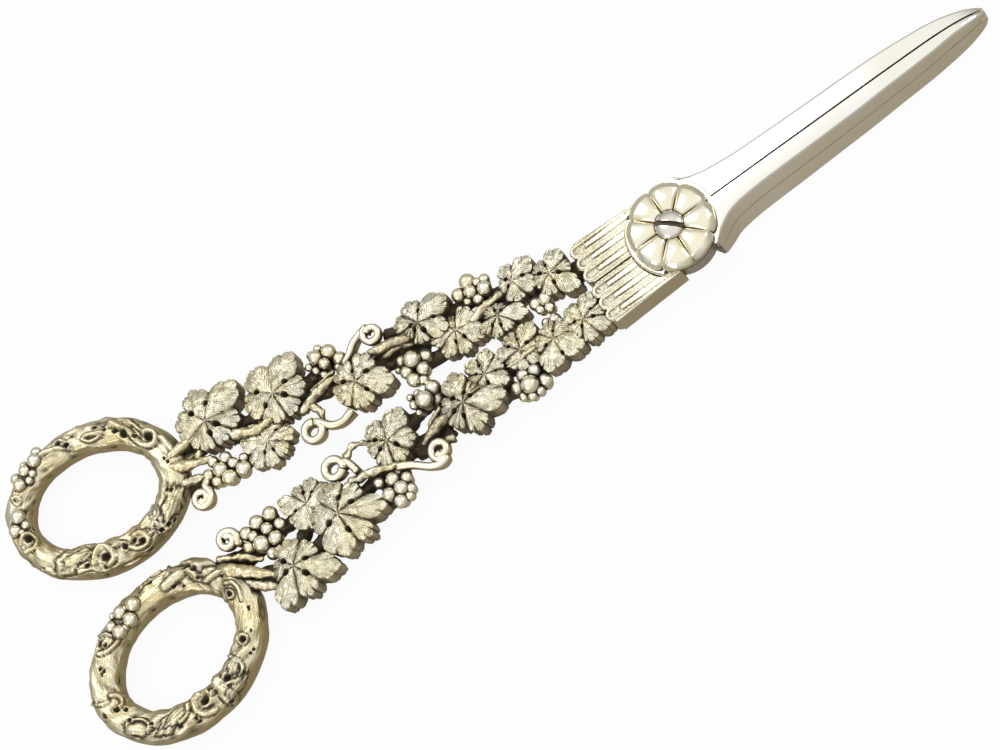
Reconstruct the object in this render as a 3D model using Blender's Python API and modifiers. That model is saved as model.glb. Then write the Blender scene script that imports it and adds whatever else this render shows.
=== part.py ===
# Grape shears with cast vine handles, closed and lying flat.
# +X runs along the blades to the tip, +Y to the left handle, +Z up.
# The origin is on the pivot's axis, at the flat underside.

import math

import bmesh
import bpy
from mathutils import Matrix, Vector

# Blades and lap joint
BLADE_LENGTH = 0.0592
BLADE_HEIGHT = 0.0062
BLADE_TOP_HALF = 0.0030
BLADE_BASE_HALF = 0.0043
LINE_OFFSET = 0.0005
LAP_RADIUS = 0.0077
LAP_HEIGHT = 0.0031
SHOULDER_REACH = 0.0046
SHOULDER_HALF = 0.0066
RUNNING_GAP = 0.0003

# Pivot
SCREW_RADIUS = 0.0015
SCREW_HEAD_RADIUS = 0.00245
SCREW_HEAD_HEIGHT = 0.0011
SLOT_WIDTH = 0.00055
SLOT_DEPTH = 0.0007
SLOT_TURN = math.radians(-48.0)
NUT_RADIUS = 0.0030
NUT_HEIGHT = 0.0014

# Rosette
ROSETTE_RADIUS = 0.0074
ROSETTE_HEIGHT = 0.0018
ROSETTE_RIM = 0.0006
ROSETTE_DISH = 0.0009
PETALS = 8
PETAL_LENGTH_SHARE = 0.44
PETAL_WIDTH_SHARE = 0.98
HUB_TURN = math.radians(6.0)

# Fluted shanks
SHANK_REACH = 0.0160
SHANK_HALF_NEAR = 0.0070
SHANK_HALF_FAR = 0.0076
SHANK_HEIGHT = 0.0052
FLUTES = 3
FLUTE_RISE = 0.0005
FLUTE_GROUND = 0.0006
NOTCH_BACK = 0.0028

# Vine handles, measured from the pivot along the middle of the open V
HANDLE_YAW = math.radians(3.6)
VINE_START = 0.0163
VINE_LENGTH = 0.0743
VINE_WIDTH = 0.0200
FRAME_HEIGHT = 0.0025
LEAF_HEIGHT = 0.0025
LEAF_BEVEL = 0.0003
GRAPE_HEIGHT = 0.0033
STEM_RISE = 0.0004
TENDRIL_RADIUS = 0.00055
LEAF_FLOOR = FRAME_HEIGHT + RUNNING_GAP
# The drawing's width as a share of its length, so that a turned leaf stays a leaf
DRAWING_SHARE = 0.27

# Finger rings
RING_HALF_LENGTH = 0.01355
RING_HALF_WIDTH = 0.01045
RING_TUBE_RADIUS = 0.00265
RING_TURN = math.radians(12.2)
RING_POINTS = 32
RING_ACROSS_SHARE = 0.765
KNOTS = 5
KNOT_SHARE = 0.06

OVERRUN = 0.002
WELD = 0.000005
COIL_STEPS = 14
TAIL_STEPS = 3
ROUND_STEPS = 24
ARC_STEPS = 6
SHARP_ANGLE = math.radians(35.0)

# Stations of the blade from the shoulder to the tip: reach as a share of the length,
# then top and base half widths and height as shares of their full values
BLADE_SHARES = (
    (0.118, 1.25, 1.08, 1.00),
    (0.145, 1.09, 1.00, 1.00),
    (0.180, 1.00, 0.97, 1.00),
    (0.260, 0.97, 0.95, 1.00),
    (0.450, 0.90, 0.91, 1.00),
    (0.640, 0.84, 0.84, 1.00),
    (0.780, 0.76, 0.74, 0.99),
    (0.860, 0.64, 0.63, 0.95),
    (0.915, 0.51, 0.52, 0.86),
    (0.952, 0.38, 0.40, 0.73),
    (0.972, 0.27, 0.30, 0.60),
)
TIP_HALF_SHARE = 0.10
TIP_HEIGHT_SHARE = 0.40
TIP_STEP_SHARE = 0.9
SHOULDER_MIDWAY_SHARES = (0.62, 0.70)

# The lobed leaf: degrees from its tip, then the reach as a share of the leaf's radius
LEAF_OUTLINE_SHARES = (
    (0, 1.00), (12, 0.87), (25, 0.75), (38, 0.88), (54, 0.98), (70, 0.86),
    (84, 0.76), (100, 0.86), (120, 0.92), (142, 0.82), (163, 0.62), (180, 0.40),
)

# Layout on one handle as shares of the vine's length and width. Leaves: place along and
# across, radius as a share of the width, squash across, then the turn of the tip in degrees
LEAF_SHARES = (
    (0.050, 0.200, 0.195, 0.88, 200),
    (0.131, 0.352, 0.168, 1.00, 60),
    (0.199, 0.135, 0.200, 0.56, 0),
    (0.305, 0.172, 0.200, 0.76, -30),
    (0.349, 0.520, 0.245, 0.84, 75),
    (0.532, 0.275, 0.245, 0.92, -60),
    (0.704, 0.685, 0.320, 1.00, 20),
    (0.778, 0.270, 0.225, 0.84, 200),
    (0.874, 0.800, 0.290, 0.95, 120),
)

# Bunches: place along and across, grape radius, turn in degrees and grapes in each row
BUNCH_SHARES = (
    (0.116, 0.085, 0.057, 0, (1, 1)),
    (0.222, 0.490, 0.057, 0, (2, 3, 2)),
    (0.424, 0.185, 0.060, 0, (2, 2, 2)),
    (0.589, 0.665, 0.052, 0, (2, 3, 2)),
    (0.888, 0.315, 0.058, 0, (2, 3, 3)),
)
BUNCH_PITCH_SHARE = 1.66
GRAPE_SINK_SHARE = 0.45
GRAPE_TURNS = (math.radians(73.0), math.radians(115.0))

# Tendrils: coil centre, outer and inner coil radius, start angle and turn in degrees,
# then the tail's points
TENDRIL_SHARES = (
    (0.460, 0.590, 0.077, 0.035, 90, -300, ((0.515, 0.655), (0.548, 0.618))),
    (0.678, 0.190, 0.090, 0.075, 270, -265, ((0.640, 0.125), (0.612, 0.085), (0.594, 0.105))),
    (0.970, 0.220, 0.095, 0.032, 100, 380, ((0.950, 0.325), (0.936, 0.355))),
)

# The back layer's outline, inner side out to the ring and back along the outer side
FRAME_OUTLINE_SHARES = (
    (0.000, 0.035), (0.090, 0.035), (0.145, 0.055), (0.180, 0.035), (0.235, 0.040),
    (0.254, 0.070), (0.280, 0.040), (0.340, 0.050), (0.375, 0.095), (0.400, 0.075),
    (0.450, 0.090), (0.470, 0.115), (0.495, 0.070), (0.560, 0.060), (0.592, 0.075),
    (0.612, 0.160), (0.618, 0.350), (0.640, 0.455), (0.680, 0.470), (0.712, 0.400),
    (0.725, 0.250), (0.745, 0.125), (0.810, 0.110), (0.835, 0.180), (0.860, 0.140),
    (0.915, 0.160), (0.945, 0.300), (0.975, 0.345), (0.998, 0.410), (0.968, 0.660),
    (0.945, 0.740), (0.920, 0.900), (0.872, 1.000), (0.820, 0.930), (0.790, 0.780),
    (0.765, 0.870), (0.705, 0.930), (0.645, 0.850), (0.620, 0.730), (0.585, 0.765),
    (0.555, 0.670), (0.540, 0.510), (0.450, 0.440), (0.420, 0.480), (0.390, 0.620),
    (0.320, 0.650), (0.270, 0.480), (0.222, 0.600), (0.170, 0.400), (0.130, 0.480),
    (0.095, 0.330), (0.050, 0.370), (0.000, 0.350),
)
WINDOW_SHARES = (
    (0.438, 0.385, 0.045), (0.783, 0.615, 0.055), (0.838, 0.465, 0.055), (0.950, 0.395, 0.030),
)
WINDOW_SIDES = 8

# Bark stems on the back layer: radius as a share of the width, then the route
STEM_SHARES = (
    (0.030, ((0.170, 0.288), (0.205, 0.285), (0.245, 0.295))),
    (0.042, ((0.505, 0.520), (0.545, 0.520), (0.590, 0.470), (0.622, 0.400))),
    (0.060, ((0.915, 0.590), (0.950, 0.585), (0.990, 0.610))),
    (0.055, ((0.942, 0.445), (0.968, 0.425), (1.010, 0.400))),
)


def new_collection(name):
    made = bpy.data.collections.new(name)
    bpy.context.scene.collection.children.link(made)
    return made


for old in list(bpy.data.objects):
    bpy.data.objects.remove(old, do_unlink=True)
PARTS = new_collection("Grape shears")
CUTTERS = new_collection("Cutters")


def metal(name, colour, roughness):
    made = bpy.data.materials.new(name)
    made.use_nodes = True
    shader = made.node_tree.nodes["Principled BSDF"]
    shader.inputs["Base Color"].default_value = (*colour, 1.0)
    shader.inputs["Metallic"].default_value = 1.0
    shader.inputs["Roughness"].default_value = roughness
    return made


POLISHED = (0.86, 0.82, 0.72)
GILT = (0.80, 0.74, 0.56)
DARK_GILT = (0.62, 0.55, 0.38)
SILVER = (0.82, 0.80, 0.77)


def place(obj, collection=None):
    (collection or PARTS).objects.link(obj)
    if collection is CUTTERS:
        obj.hide_render = True
        obj.display_type = "WIRE"
    return obj


def finish(obj, colour, roughness, parent):
    obj.data.materials.clear()
    obj.data.materials.append(metal(obj.name, colour, roughness))
    obj.parent = parent
    return obj


def mesh_object(name, bm, collection=None):
    mesh = bpy.data.meshes.new(name)
    bmesh.ops.recalc_face_normals(bm, faces=bm.faces)
    bm.to_mesh(mesh)
    bm.free()
    mesh.set_sharp_from_angle(angle=SHARP_ANGLE)
    return place(bpy.data.objects.new(name, mesh), collection)


def loft(name, rings, collection=None):
    # Sections with the same number of corners, joined in order and closed at both ends
    bm = bmesh.new()
    rows = [[bm.verts.new(point) for point in ring] for ring in rings]
    count = len(rows[0])
    for near, far in zip(rows, rows[1:]):
        for i in range(count):
            j = (i + 1) % count
            bm.faces.new((near[i], near[j], far[j], far[i]))
    bm.faces.new(rows[0][::-1])
    bm.faces.new(rows[-1])
    return mesh_object(name, bm, collection)


def curve_to_mesh(name, curve, collection=None, height=0.0):
    # A curve takes no Boolean, so its evaluated mesh is kept with its caps welded
    holder = bpy.data.objects.new(name + "_curve", curve)
    bpy.context.scene.collection.objects.link(holder)
    holder.location.z = height
    bpy.context.view_layer.update()
    graph = bpy.context.evaluated_depsgraph_get()
    mesh = bpy.data.meshes.new_from_object(holder.evaluated_get(graph))
    bm = bmesh.new()
    bm.from_mesh(mesh)
    bmesh.ops.remove_doubles(bm, verts=bm.verts, dist=WELD)
    bm.transform(holder.matrix_world)
    bpy.data.objects.remove(holder, do_unlink=True)
    return mesh_object(name, bm, collection)


def plate(name, outlines, low, high, bevel=0.0, collection=None):
    # Flat outlines, the later ones holes, filled and extruded between two heights
    curve = bpy.data.curves.new(name, "CURVE")
    curve.dimensions = "2D"
    curve.fill_mode = "BOTH"
    curve.extrude = (high - low) / 2 - bevel
    curve.bevel_depth = bevel
    curve.bevel_resolution = 0
    curve.offset = -bevel
    for outline in outlines:
        spline = curve.splines.new("POLY")
        spline.points.add(len(outline) - 1)
        for point, corner in zip(spline.points, outline):
            point.co = (corner[0], corner[1], 0.0, 1.0)
        spline.use_cyclic_u = True
    return curve_to_mesh(name, curve, collection, (high + low) / 2)


def tube(name, route, radius, swell=None, cyclic=False, collection=None, resolution=1):
    curve = bpy.data.curves.new(name, "CURVE")
    curve.dimensions = "3D"
    curve.bevel_depth = radius
    curve.bevel_resolution = resolution
    curve.use_fill_caps = True
    spline = curve.splines.new("POLY")
    spline.points.add(len(route) - 1)
    for i, corner in enumerate(route):
        spline.points[i].co = (*corner, 1.0)
        spline.points[i].radius = swell[i] if swell else 1.0
    spline.use_cyclic_u = cyclic
    return curve_to_mesh(name, curve, collection)


def smooth_route(points, steps):
    # A Catmull-Rom curve through the points
    padded = [points[0] * 2 - points[1], *points, points[-1] * 2 - points[-2]]
    route = []
    for a, b, c, d in zip(padded, padded[1:], padded[2:], padded[3:]):
        for i in range(steps):
            t = i / steps
            bend = (a * 2 - b * 5 + c * 4 - d) * t * t + (b * 3 - a - c * 3 + d) * t * t * t
            route.append((b * 2 + (c - a) * t + bend) / 2)
    route.append(points[-1])
    return route


def turned(name, profile, steps, collection=None):
    # A profile of radius and height, top to bottom, turned about the pivot's axis
    bm = bmesh.new()
    corners = [bm.verts.new((radius, 0.0, height)) for radius, height in profile]
    for a, b in zip(corners, corners[1:]):
        bm.edges.new((a, b))
    mesh = bpy.data.meshes.new(name)
    bm.to_mesh(mesh)
    bm.free()
    obj = place(bpy.data.objects.new(name, mesh), collection)
    screw = obj.modifiers.new("Turn", "SCREW")
    screw.steps = steps
    screw.render_steps = steps
    screw.use_merge_vertices = True
    screw.merge_threshold = RUNNING_GAP / steps
    return obj


def cylinder(name, radius, low, high, collection=None, steps=40):
    bm = bmesh.new()
    lift = Matrix.Translation((0.0, 0.0, (low + high) / 2))
    bmesh.ops.create_cone(bm, cap_ends=True, segments=steps, radius1=radius, radius2=radius,
                          depth=high - low, matrix=lift)
    return mesh_object(name, bm, collection)


def box(name, low, high, turn=0.0, collection=None):
    bm = bmesh.new()
    for x in (low[0], high[0]):
        for y in (low[1], high[1]):
            for z in (low[2], high[2]):
                bm.verts.new((x, y, z))
    bmesh.ops.convex_hull(bm, input=bm.verts)
    bm.transform(Matrix.Rotation(turn, 4, "Z"))
    return mesh_object(name, bm, collection)


def combine(obj, other, operation, use_self=False):
    step = obj.modifiers.new(operation.title(), "BOOLEAN")
    step.operation = operation
    step.object = other
    step.solver = "EXACT"
    step.use_self = use_self
    return obj


def join_meshes(name, objects, collection=None):
    # Overlapping closed meshes in one object, to be made one body by a Boolean with use_self
    bm = bmesh.new()
    for obj in objects:
        bm.from_mesh(obj.data)
        bpy.data.objects.remove(obj, do_unlink=True)
    return mesh_object(name, bm, collection)


def handle_point(along, across, side, height=0.0):
    x = -along * math.cos(HANDLE_YAW) + side * across * math.sin(HANDLE_YAW)
    y = along * math.sin(HANDLE_YAW) + side * across * math.cos(HANDLE_YAW)
    return Vector((x, y, height))


def vine_point(along_share, across_share, side, height=0.0):
    along = VINE_START + along_share * VINE_LENGTH
    return handle_point(along, across_share * VINE_WIDTH, side, height)


def around(centre, reach_share, angle, side, height=0.0, squash_share=1.0):
    along_share = centre[0] + reach_share * DRAWING_SHARE * math.cos(angle)
    across_share = centre[1] + reach_share * squash_share * math.sin(angle)
    return vine_point(along_share, across_share, side, height)


def blade_stations():
    # Reach, top half width, base half width and height, from the shoulder to the tip
    flare = SHOULDER_HALF
    rows = [(SHOULDER_REACH, flare, flare, BLADE_HEIGHT)]
    reach = BLADE_SHARES[0][0] * BLADE_LENGTH
    near_top = BLADE_SHARES[0][1] * BLADE_TOP_HALF
    near_base = BLADE_SHARES[0][2] * BLADE_BASE_HALF
    step, drop = SHOULDER_MIDWAY_SHARES
    rows.append((SHOULDER_REACH + (reach - SHOULDER_REACH) * step,
                 flare + (near_top - flare) * drop,
                 flare + (near_base - flare) * drop, BLADE_HEIGHT))
    for reach_share, top_share, base_share, height_share in BLADE_SHARES:
        rows.append((reach_share * BLADE_LENGTH, top_share * BLADE_TOP_HALF,
                     base_share * BLADE_BASE_HALF, height_share * BLADE_HEIGHT))
    return rows


def over_blade(parent):
    # The upper half of the lap and the right side's cutting blade
    floor = LAP_HEIGHT + RUNNING_GAP / 2
    inner = LINE_OFFSET - RUNNING_GAP / 2
    rings = []
    for reach, top, base, height in blade_stations():
        outer_top = LINE_OFFSET - top
        outer_base = LINE_OFFSET - base
        rings.append([Vector((reach, inner, floor)), Vector((reach, outer_base, floor)),
                      Vector((reach, outer_top, height)), Vector((reach, inner, height))])
    blade = loft("over_blade", rings)
    combine(blade, cylinder("over_lap", LAP_RADIUS, floor, BLADE_HEIGHT, CUTTERS), "UNION")
    bore = cylinder("over_bore", SCREW_RADIUS + RUNNING_GAP, -OVERRUN, BLADE_HEIGHT + OVERRUN,
                    CUTTERS, 24)
    combine(blade, bore, "DIFFERENCE")
    return finish(blade, POLISHED, 0.12, parent)


def under_blade(parent):
    # The lower half of the lap, the left blade and the ledge that carries the right one
    ledge = LAP_HEIGHT - RUNNING_GAP / 2
    inner = LINE_OFFSET + RUNNING_GAP / 2
    rows = blade_stations()
    rows.append((BLADE_LENGTH, TIP_HALF_SHARE * BLADE_TOP_HALF, TIP_HALF_SHARE * BLADE_BASE_HALF,
                 TIP_HEIGHT_SHARE * BLADE_HEIGHT))
    rings = []
    for reach, top, base, height in rows:
        step = min(ledge, height * TIP_STEP_SHARE)
        rings.append([
            Vector((reach, inner, height)), Vector((reach, inner, step)),
            Vector((reach, LINE_OFFSET - base, step)), Vector((reach, LINE_OFFSET - base, 0.0)),
            Vector((reach, LINE_OFFSET + base, 0.0)), Vector((reach, LINE_OFFSET + base, step)),
            Vector((reach, LINE_OFFSET + top, height))])
    blade = loft("under_blade", rings)
    clearance = cylinder("under_lap_clearance", LAP_RADIUS + RUNNING_GAP, ledge,
                         BLADE_HEIGHT + OVERRUN, CUTTERS)
    combine(blade, clearance, "DIFFERENCE")
    combine(blade, cylinder("under_lap", LAP_RADIUS, 0.0, ledge, CUTTERS), "UNION")
    bore = cylinder("under_bore", SCREW_RADIUS + RUNNING_GAP, -OVERRUN, BLADE_HEIGHT, CUTTERS, 24)
    combine(blade, bore, "DIFFERENCE")
    seat = cylinder("nut_seat", NUT_RADIUS + RUNNING_GAP, -OVERRUN, NUT_HEIGHT + RUNNING_GAP,
                    CUTTERS, 32)
    combine(blade, seat, "DIFFERENCE")
    return finish(blade, POLISHED, 0.12, parent)


def rosette(parent):
    # Eight domed gadroons round the screw
    floor = BLADE_HEIGHT + RUNNING_GAP
    bm = bmesh.new()
    reach = ROSETTE_RADIUS * PETAL_LENGTH_SHARE
    width_share = math.pi * PETAL_WIDTH_SHARE / PETALS / PETAL_LENGTH_SHARE
    rise_share = (ROSETTE_HEIGHT - ROSETTE_RIM) / reach
    for i in range(PETALS):
        turn = math.radians(360.0 / PETALS) * (i + 0.5)
        shape = (Matrix.Rotation(turn, 4, "Z")
                 @ Matrix.Translation((ROSETTE_RADIUS - reach, 0.0, floor + ROSETTE_RIM))
                 @ Matrix.Diagonal((1.0, width_share, rise_share, 1.0)))
        bmesh.ops.create_uvsphere(bm, u_segments=10, v_segments=6, radius=reach, matrix=shape)
    lift = Matrix.Translation((0.0, 0.0, floor + ROSETTE_DISH / 2))
    bmesh.ops.create_cone(bm, cap_ends=True, segments=20, radius1=reach, radius2=reach,
                          depth=ROSETTE_HEIGHT, matrix=lift @ Matrix.Rotation(HUB_TURN, 4, "Z"))
    body = mesh_object("rosette", bm)
    span = ROSETTE_RADIUS + OVERRUN
    slab = box("rosette_slab", (-span, -span, floor), (span, span, floor + ROSETTE_HEIGHT + OVERRUN),
               0.0, CUTTERS)
    combine(body, slab, "INTERSECT", True)
    bore = cylinder("rosette_bore", SCREW_RADIUS + RUNNING_GAP, 0.0, floor + ROSETTE_HEIGHT + OVERRUN,
                    CUTTERS, 24)
    combine(body, bore, "DIFFERENCE")
    dish = cylinder("rosette_dish", SCREW_HEAD_RADIUS + RUNNING_GAP, floor + ROSETTE_DISH,
                    floor + ROSETTE_HEIGHT + OVERRUN, CUTTERS, 24)
    combine(body, dish, "DIFFERENCE")
    return finish(body, POLISHED, 0.16, parent)


def pivot_screw(parent):
    # The head sits in the rosette's dish and the shaft ends level with the underside
    seat = BLADE_HEIGHT + RUNNING_GAP + ROSETTE_DISH + RUNNING_GAP
    top = seat + SCREW_HEAD_HEIGHT
    profile = []
    for i in range(ARC_STEPS + 1):
        lean = math.pi / 2 * i / ARC_STEPS
        profile.append((SCREW_HEAD_RADIUS * math.sin(lean),
                        seat + SCREW_HEAD_HEIGHT * math.cos(lean)))
    profile += [(SCREW_RADIUS, seat), (SCREW_RADIUS, 0.0), (0.0, 0.0)]
    screw = turned("pivot_screw", profile, ROUND_STEPS)
    slot = box("screw_slot", (-SCREW_HEAD_RADIUS - OVERRUN, -SLOT_WIDTH / 2, top - SLOT_DEPTH),
               (SCREW_HEAD_RADIUS + OVERRUN, SLOT_WIDTH / 2, top + OVERRUN), SLOT_TURN, CUTTERS)
    combine(screw, slot, "DIFFERENCE")
    return finish(screw, SILVER, 0.15, parent)


def pivot_nut(parent):
    nut = cylinder("pivot_nut", NUT_RADIUS, 0.0, NUT_HEIGHT, None, 32)
    bore = cylinder("nut_bore", SCREW_RADIUS + RUNNING_GAP, -OVERRUN, NUT_HEIGHT + OVERRUN,
                    CUTTERS, 24)
    combine(nut, bore, "DIFFERENCE")
    return finish(nut, SILVER, 0.25, parent)


def capsule(start, end, middle, half):
    # A flute's outline: a straight bar with a round end at the vine
    points = [(end, middle + half), (start, middle + half), (start, middle - half),
              (end, middle - half)]
    for i in range(1, ARC_STEPS):
        lean = math.pi * i / ARC_STEPS
        points.append((end - half * math.sin(lean), middle - half * math.cos(lean)))
    return points


def shank_end(across):
    # The shank ends square to the handle, so its end leans on the drawing
    return (across * math.sin(HANDLE_YAW) - SHANK_REACH) / math.cos(HANDLE_YAW)


def shank(half, side, parent):
    # The fluted block between the lap joint and the vine
    inner = LINE_OFFSET + side * RUNNING_GAP / 2
    near = LINE_OFFSET + side * SHANK_HALF_NEAR
    far = LINE_OFFSET + side * SHANK_HALF_FAR
    outline = [(-NOTCH_BACK, inner), (-NOTCH_BACK, near), (shank_end(far), far),
               (shank_end(inner), inner)]
    block = plate(half + "_shank", [outline], 0.0, SHANK_HEIGHT)
    pitch = (SHANK_HALF_NEAR - FLUTE_GROUND) / FLUTES
    for i in range(FLUTES):
        middle = inner + side * (FLUTE_GROUND / 2 + pitch * (i + 0.5))
        end = shank_end(middle) + pitch / 2 + FLUTE_GROUND / 2
        outline = capsule(-NOTCH_BACK - FLUTE_GROUND, end, middle, (pitch - FLUTE_GROUND) / 2)
        bar = plate(half + "_flute", [outline], SHANK_HEIGHT / 2, SHANK_HEIGHT + FLUTE_RISE, 0.0,
                    CUTTERS)
        combine(block, bar, "UNION")
    bite = cylinder(half + "_shank_bite", LAP_RADIUS + RUNNING_GAP, -OVERRUN, BLADE_HEIGHT + OVERRUN,
                    CUTTERS)
    combine(block, bite, "DIFFERENCE")
    return finish(block, GILT, 0.3, parent)


def ring_route(side):
    # The branch bent into an oval, with slow swellings like old wood
    centre = Vector((VINE_START + VINE_LENGTH + RING_HALF_LENGTH, RING_ACROSS_SHARE * VINE_WIDTH))
    route = []
    swell = []
    for i in range(RING_POINTS):
        t = math.tau * i / RING_POINTS
        along = RING_HALF_LENGTH * math.cos(t)
        across = RING_HALF_WIDTH * math.sin(t)
        turned_along = along * math.cos(RING_TURN) - across * math.sin(RING_TURN)
        turned_across = along * math.sin(RING_TURN) + across * math.cos(RING_TURN)
        route.append(handle_point(centre.x + turned_along, centre.y + turned_across, side,
                                  RING_TUBE_RADIUS))
        swell.append(1.0 - KNOT_SHARE + KNOT_SHARE * math.cos(KNOTS * t))
    return route, swell


def finger_ring(half, side, parent):
    route, swell = ring_route(side)
    ring = tube(half + "_ring", route, RING_TUBE_RADIUS, swell, True, None, 2)
    return finish(ring, GILT, 0.35, parent)


def ring_cutter(half, side):
    route, swell = ring_route(side)
    return tube(half + "_ring_cutter", route, RING_TUBE_RADIUS + RUNNING_GAP, swell, True,
                CUTTERS, 2)


def vine_frame(half, side, parent):
    # The pierced back layer and its bark stems, saddled on the ring
    outlines = [[vine_point(*corner, side) for corner in FRAME_OUTLINE_SHARES]]
    for along_share, across_share, reach_share in WINDOW_SHARES:
        outlines.append([around((along_share, across_share), reach_share,
                                math.tau * i / WINDOW_SIDES, side) for i in range(WINDOW_SIDES)])
    pieces = [plate(half + "_vine", outlines, 0.0, FRAME_HEIGHT)]
    for radius_share, route_shares in STEM_SHARES:
        radius = radius_share * VINE_WIDTH
        points = [vine_point(*corner, side, FRAME_HEIGHT + STEM_RISE) for corner in route_shares]
        pieces.append(tube(half + "_stem", smooth_route(points, 2), radius, None, False, None, 2))
    body = join_meshes(half + "_vine", pieces)
    combine(body, ring_cutter(half, side), "DIFFERENCE", True)
    return finish(body, DARK_GILT, 0.45, parent)


def leaf(name, side, row, parent):
    along_share, across_share, reach_share, squash_share, turn = row
    points = []
    for angle, share in LEAF_OUTLINE_SHARES:
        points.append((angle, share))
    for angle, share in LEAF_OUTLINE_SHARES[-2:0:-1]:
        points.append((-angle, share))
    outline = [around((along_share, across_share), reach_share * share,
                      math.radians(turn + angle), side, 0.0, squash_share)
               for angle, share in points]
    made = plate(name, [outline], LEAF_FLOOR, LEAF_FLOOR + LEAF_HEIGHT, LEAF_BEVEL)
    return finish(made, GILT, 0.35, parent)


def bunch(name, side, row, parent):
    # Grapes in staggered rows, packed closer than they are wide and cut flat at the back
    along_share, across_share, grape_share, turn, counts = row
    lean = math.radians(turn)
    bm = bmesh.new()
    radius = grape_share * VINE_WIDTH
    rise = GRAPE_HEIGHT / 2
    stretch = DRAWING_SHARE * VINE_LENGTH / VINE_WIDTH
    step = grape_share * BUNCH_PITCH_SHARE
    near_turn, far_turn = GRAPE_TURNS
    for i, count in enumerate(counts):
        for j in range(count):
            u = (i - (len(counts) - 1) / 2) * step * math.sin(math.radians(60.0))
            w = (j - (count - 1) / 2) * step
            du = u * math.cos(lean) - w * math.sin(lean)
            dw = u * math.sin(lean) + w * math.cos(lean)
            spot = vine_point(along_share + du * DRAWING_SHARE, across_share + dw, side,
                              LEAF_FLOOR + rise * GRAPE_SINK_SHARE)
            shape = (Matrix.Translation(spot) @ Matrix.Rotation(-HANDLE_YAW, 4, "Z")
                     @ Matrix.Diagonal((stretch, 1.0, rise / radius, 1.0))
                     @ Matrix.Rotation(i * near_turn + j * far_turn, 4, "Z"))
            bmesh.ops.create_uvsphere(bm, u_segments=8, v_segments=6, radius=radius, matrix=shape)
    body = mesh_object(name, bm)
    centre = vine_point(along_share, across_share, side)
    reach = VINE_WIDTH
    slab = box(name + "_slab", (centre.x - reach, centre.y - reach, LEAF_FLOOR),
               (centre.x + reach, centre.y + reach, LEAF_FLOOR + GRAPE_HEIGHT + OVERRUN),
               0.0, CUTTERS)
    combine(body, slab, "INTERSECT", True)
    return finish(body, SILVER, 0.2, parent)


def tendril(name, side, row, parent):
    # A coil that opens out into a tail
    along_share, across_share, outer_share, inner_share, start, sweep, tail = row
    height = LEAF_FLOOR + TENDRIL_RADIUS
    centre = (along_share, across_share)
    route = []
    for i in range(COIL_STEPS + 1):
        t = i / COIL_STEPS
        reach = inner_share + (outer_share - inner_share) * t
        angle = math.radians(start - sweep * (1.0 - t))
        route.append(around(centre, reach, angle, side, height))
    points = [route[-1]] + [vine_point(*corner, side, height) for corner in tail]
    route += smooth_route(points, TAIL_STEPS)[1:]
    made = tube(name, route, TENDRIL_RADIUS)
    return finish(made, POLISHED, 0.2, parent)


def half_nodes(half, side, parent):
    shank(half, side, parent)
    finger_ring(half, side, parent)
    vine_frame(half, side, parent)
    for i, row in enumerate(LEAF_SHARES):
        leaf(f"{half}_leaf_{i + 1}", side, row, parent)
    for i, row in enumerate(BUNCH_SHARES):
        bunch(f"{half}_grapes_{i + 1}", side, row, parent)
    for i, row in enumerate(TENDRIL_SHARES):
        tendril(f"{half}_tendril_{i + 1}", side, row, parent)


def hinge_empty(name):
    return place(bpy.data.objects.new(name, None))


over_pivot = hinge_empty("over_half")
under_pivot = hinge_empty("under_half")
over_blade(over_pivot)
under_blade(under_pivot)
rosette(over_pivot)
pivot_screw(under_pivot)
pivot_nut(under_pivot)
half_nodes("over", 1, over_pivot)
half_nodes("under", -1, under_pivot)
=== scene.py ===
# Grape shears with vine handles: the dressed model, its materials, light and camera
import math
import bpy
import numpy as np
from mathutils import Matrix, Vector
from mathutils.bvhtree import BVHTree


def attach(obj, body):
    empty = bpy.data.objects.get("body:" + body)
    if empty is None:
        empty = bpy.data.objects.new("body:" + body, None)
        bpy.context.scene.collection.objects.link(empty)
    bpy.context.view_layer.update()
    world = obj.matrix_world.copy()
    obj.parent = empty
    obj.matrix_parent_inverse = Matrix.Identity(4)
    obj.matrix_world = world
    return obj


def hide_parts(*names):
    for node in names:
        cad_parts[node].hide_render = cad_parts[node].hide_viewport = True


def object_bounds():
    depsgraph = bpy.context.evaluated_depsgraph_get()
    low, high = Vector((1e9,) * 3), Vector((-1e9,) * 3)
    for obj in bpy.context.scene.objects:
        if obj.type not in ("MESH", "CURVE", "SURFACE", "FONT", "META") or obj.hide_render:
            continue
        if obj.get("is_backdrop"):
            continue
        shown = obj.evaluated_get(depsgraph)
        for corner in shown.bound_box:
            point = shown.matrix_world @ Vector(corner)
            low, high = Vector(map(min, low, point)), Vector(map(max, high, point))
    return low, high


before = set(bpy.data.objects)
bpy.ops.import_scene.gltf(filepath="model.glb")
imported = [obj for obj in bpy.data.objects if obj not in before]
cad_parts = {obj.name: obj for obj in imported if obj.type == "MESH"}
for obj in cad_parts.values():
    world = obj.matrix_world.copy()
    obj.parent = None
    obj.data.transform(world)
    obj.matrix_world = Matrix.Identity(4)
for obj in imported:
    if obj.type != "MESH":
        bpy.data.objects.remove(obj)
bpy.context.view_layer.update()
mm = 0.001
handleYaw = math.radians(3.6)
fullTurn = 2 * math.pi
halves = {"over": [], "under": []}


def pickNone():
    bpy.ops.object.select_all(action="DESELECT")


def pick(piece):
    pickNone()
    piece.select_set(True)
    bpy.context.view_layer.objects.active = piece


def newShape(operator, **settings):
    pickNone()
    operator(**settings)
    return bpy.context.object


def inEdit(piece, *jobs):
    # each job in edit mode, on the whole piece
    pick(piece)
    bpy.ops.object.mode_set(mode="EDIT")
    for job in jobs:
        bpy.ops.mesh.select_all(action="SELECT")
        job()
    bpy.ops.object.mode_set(mode="OBJECT")


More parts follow.
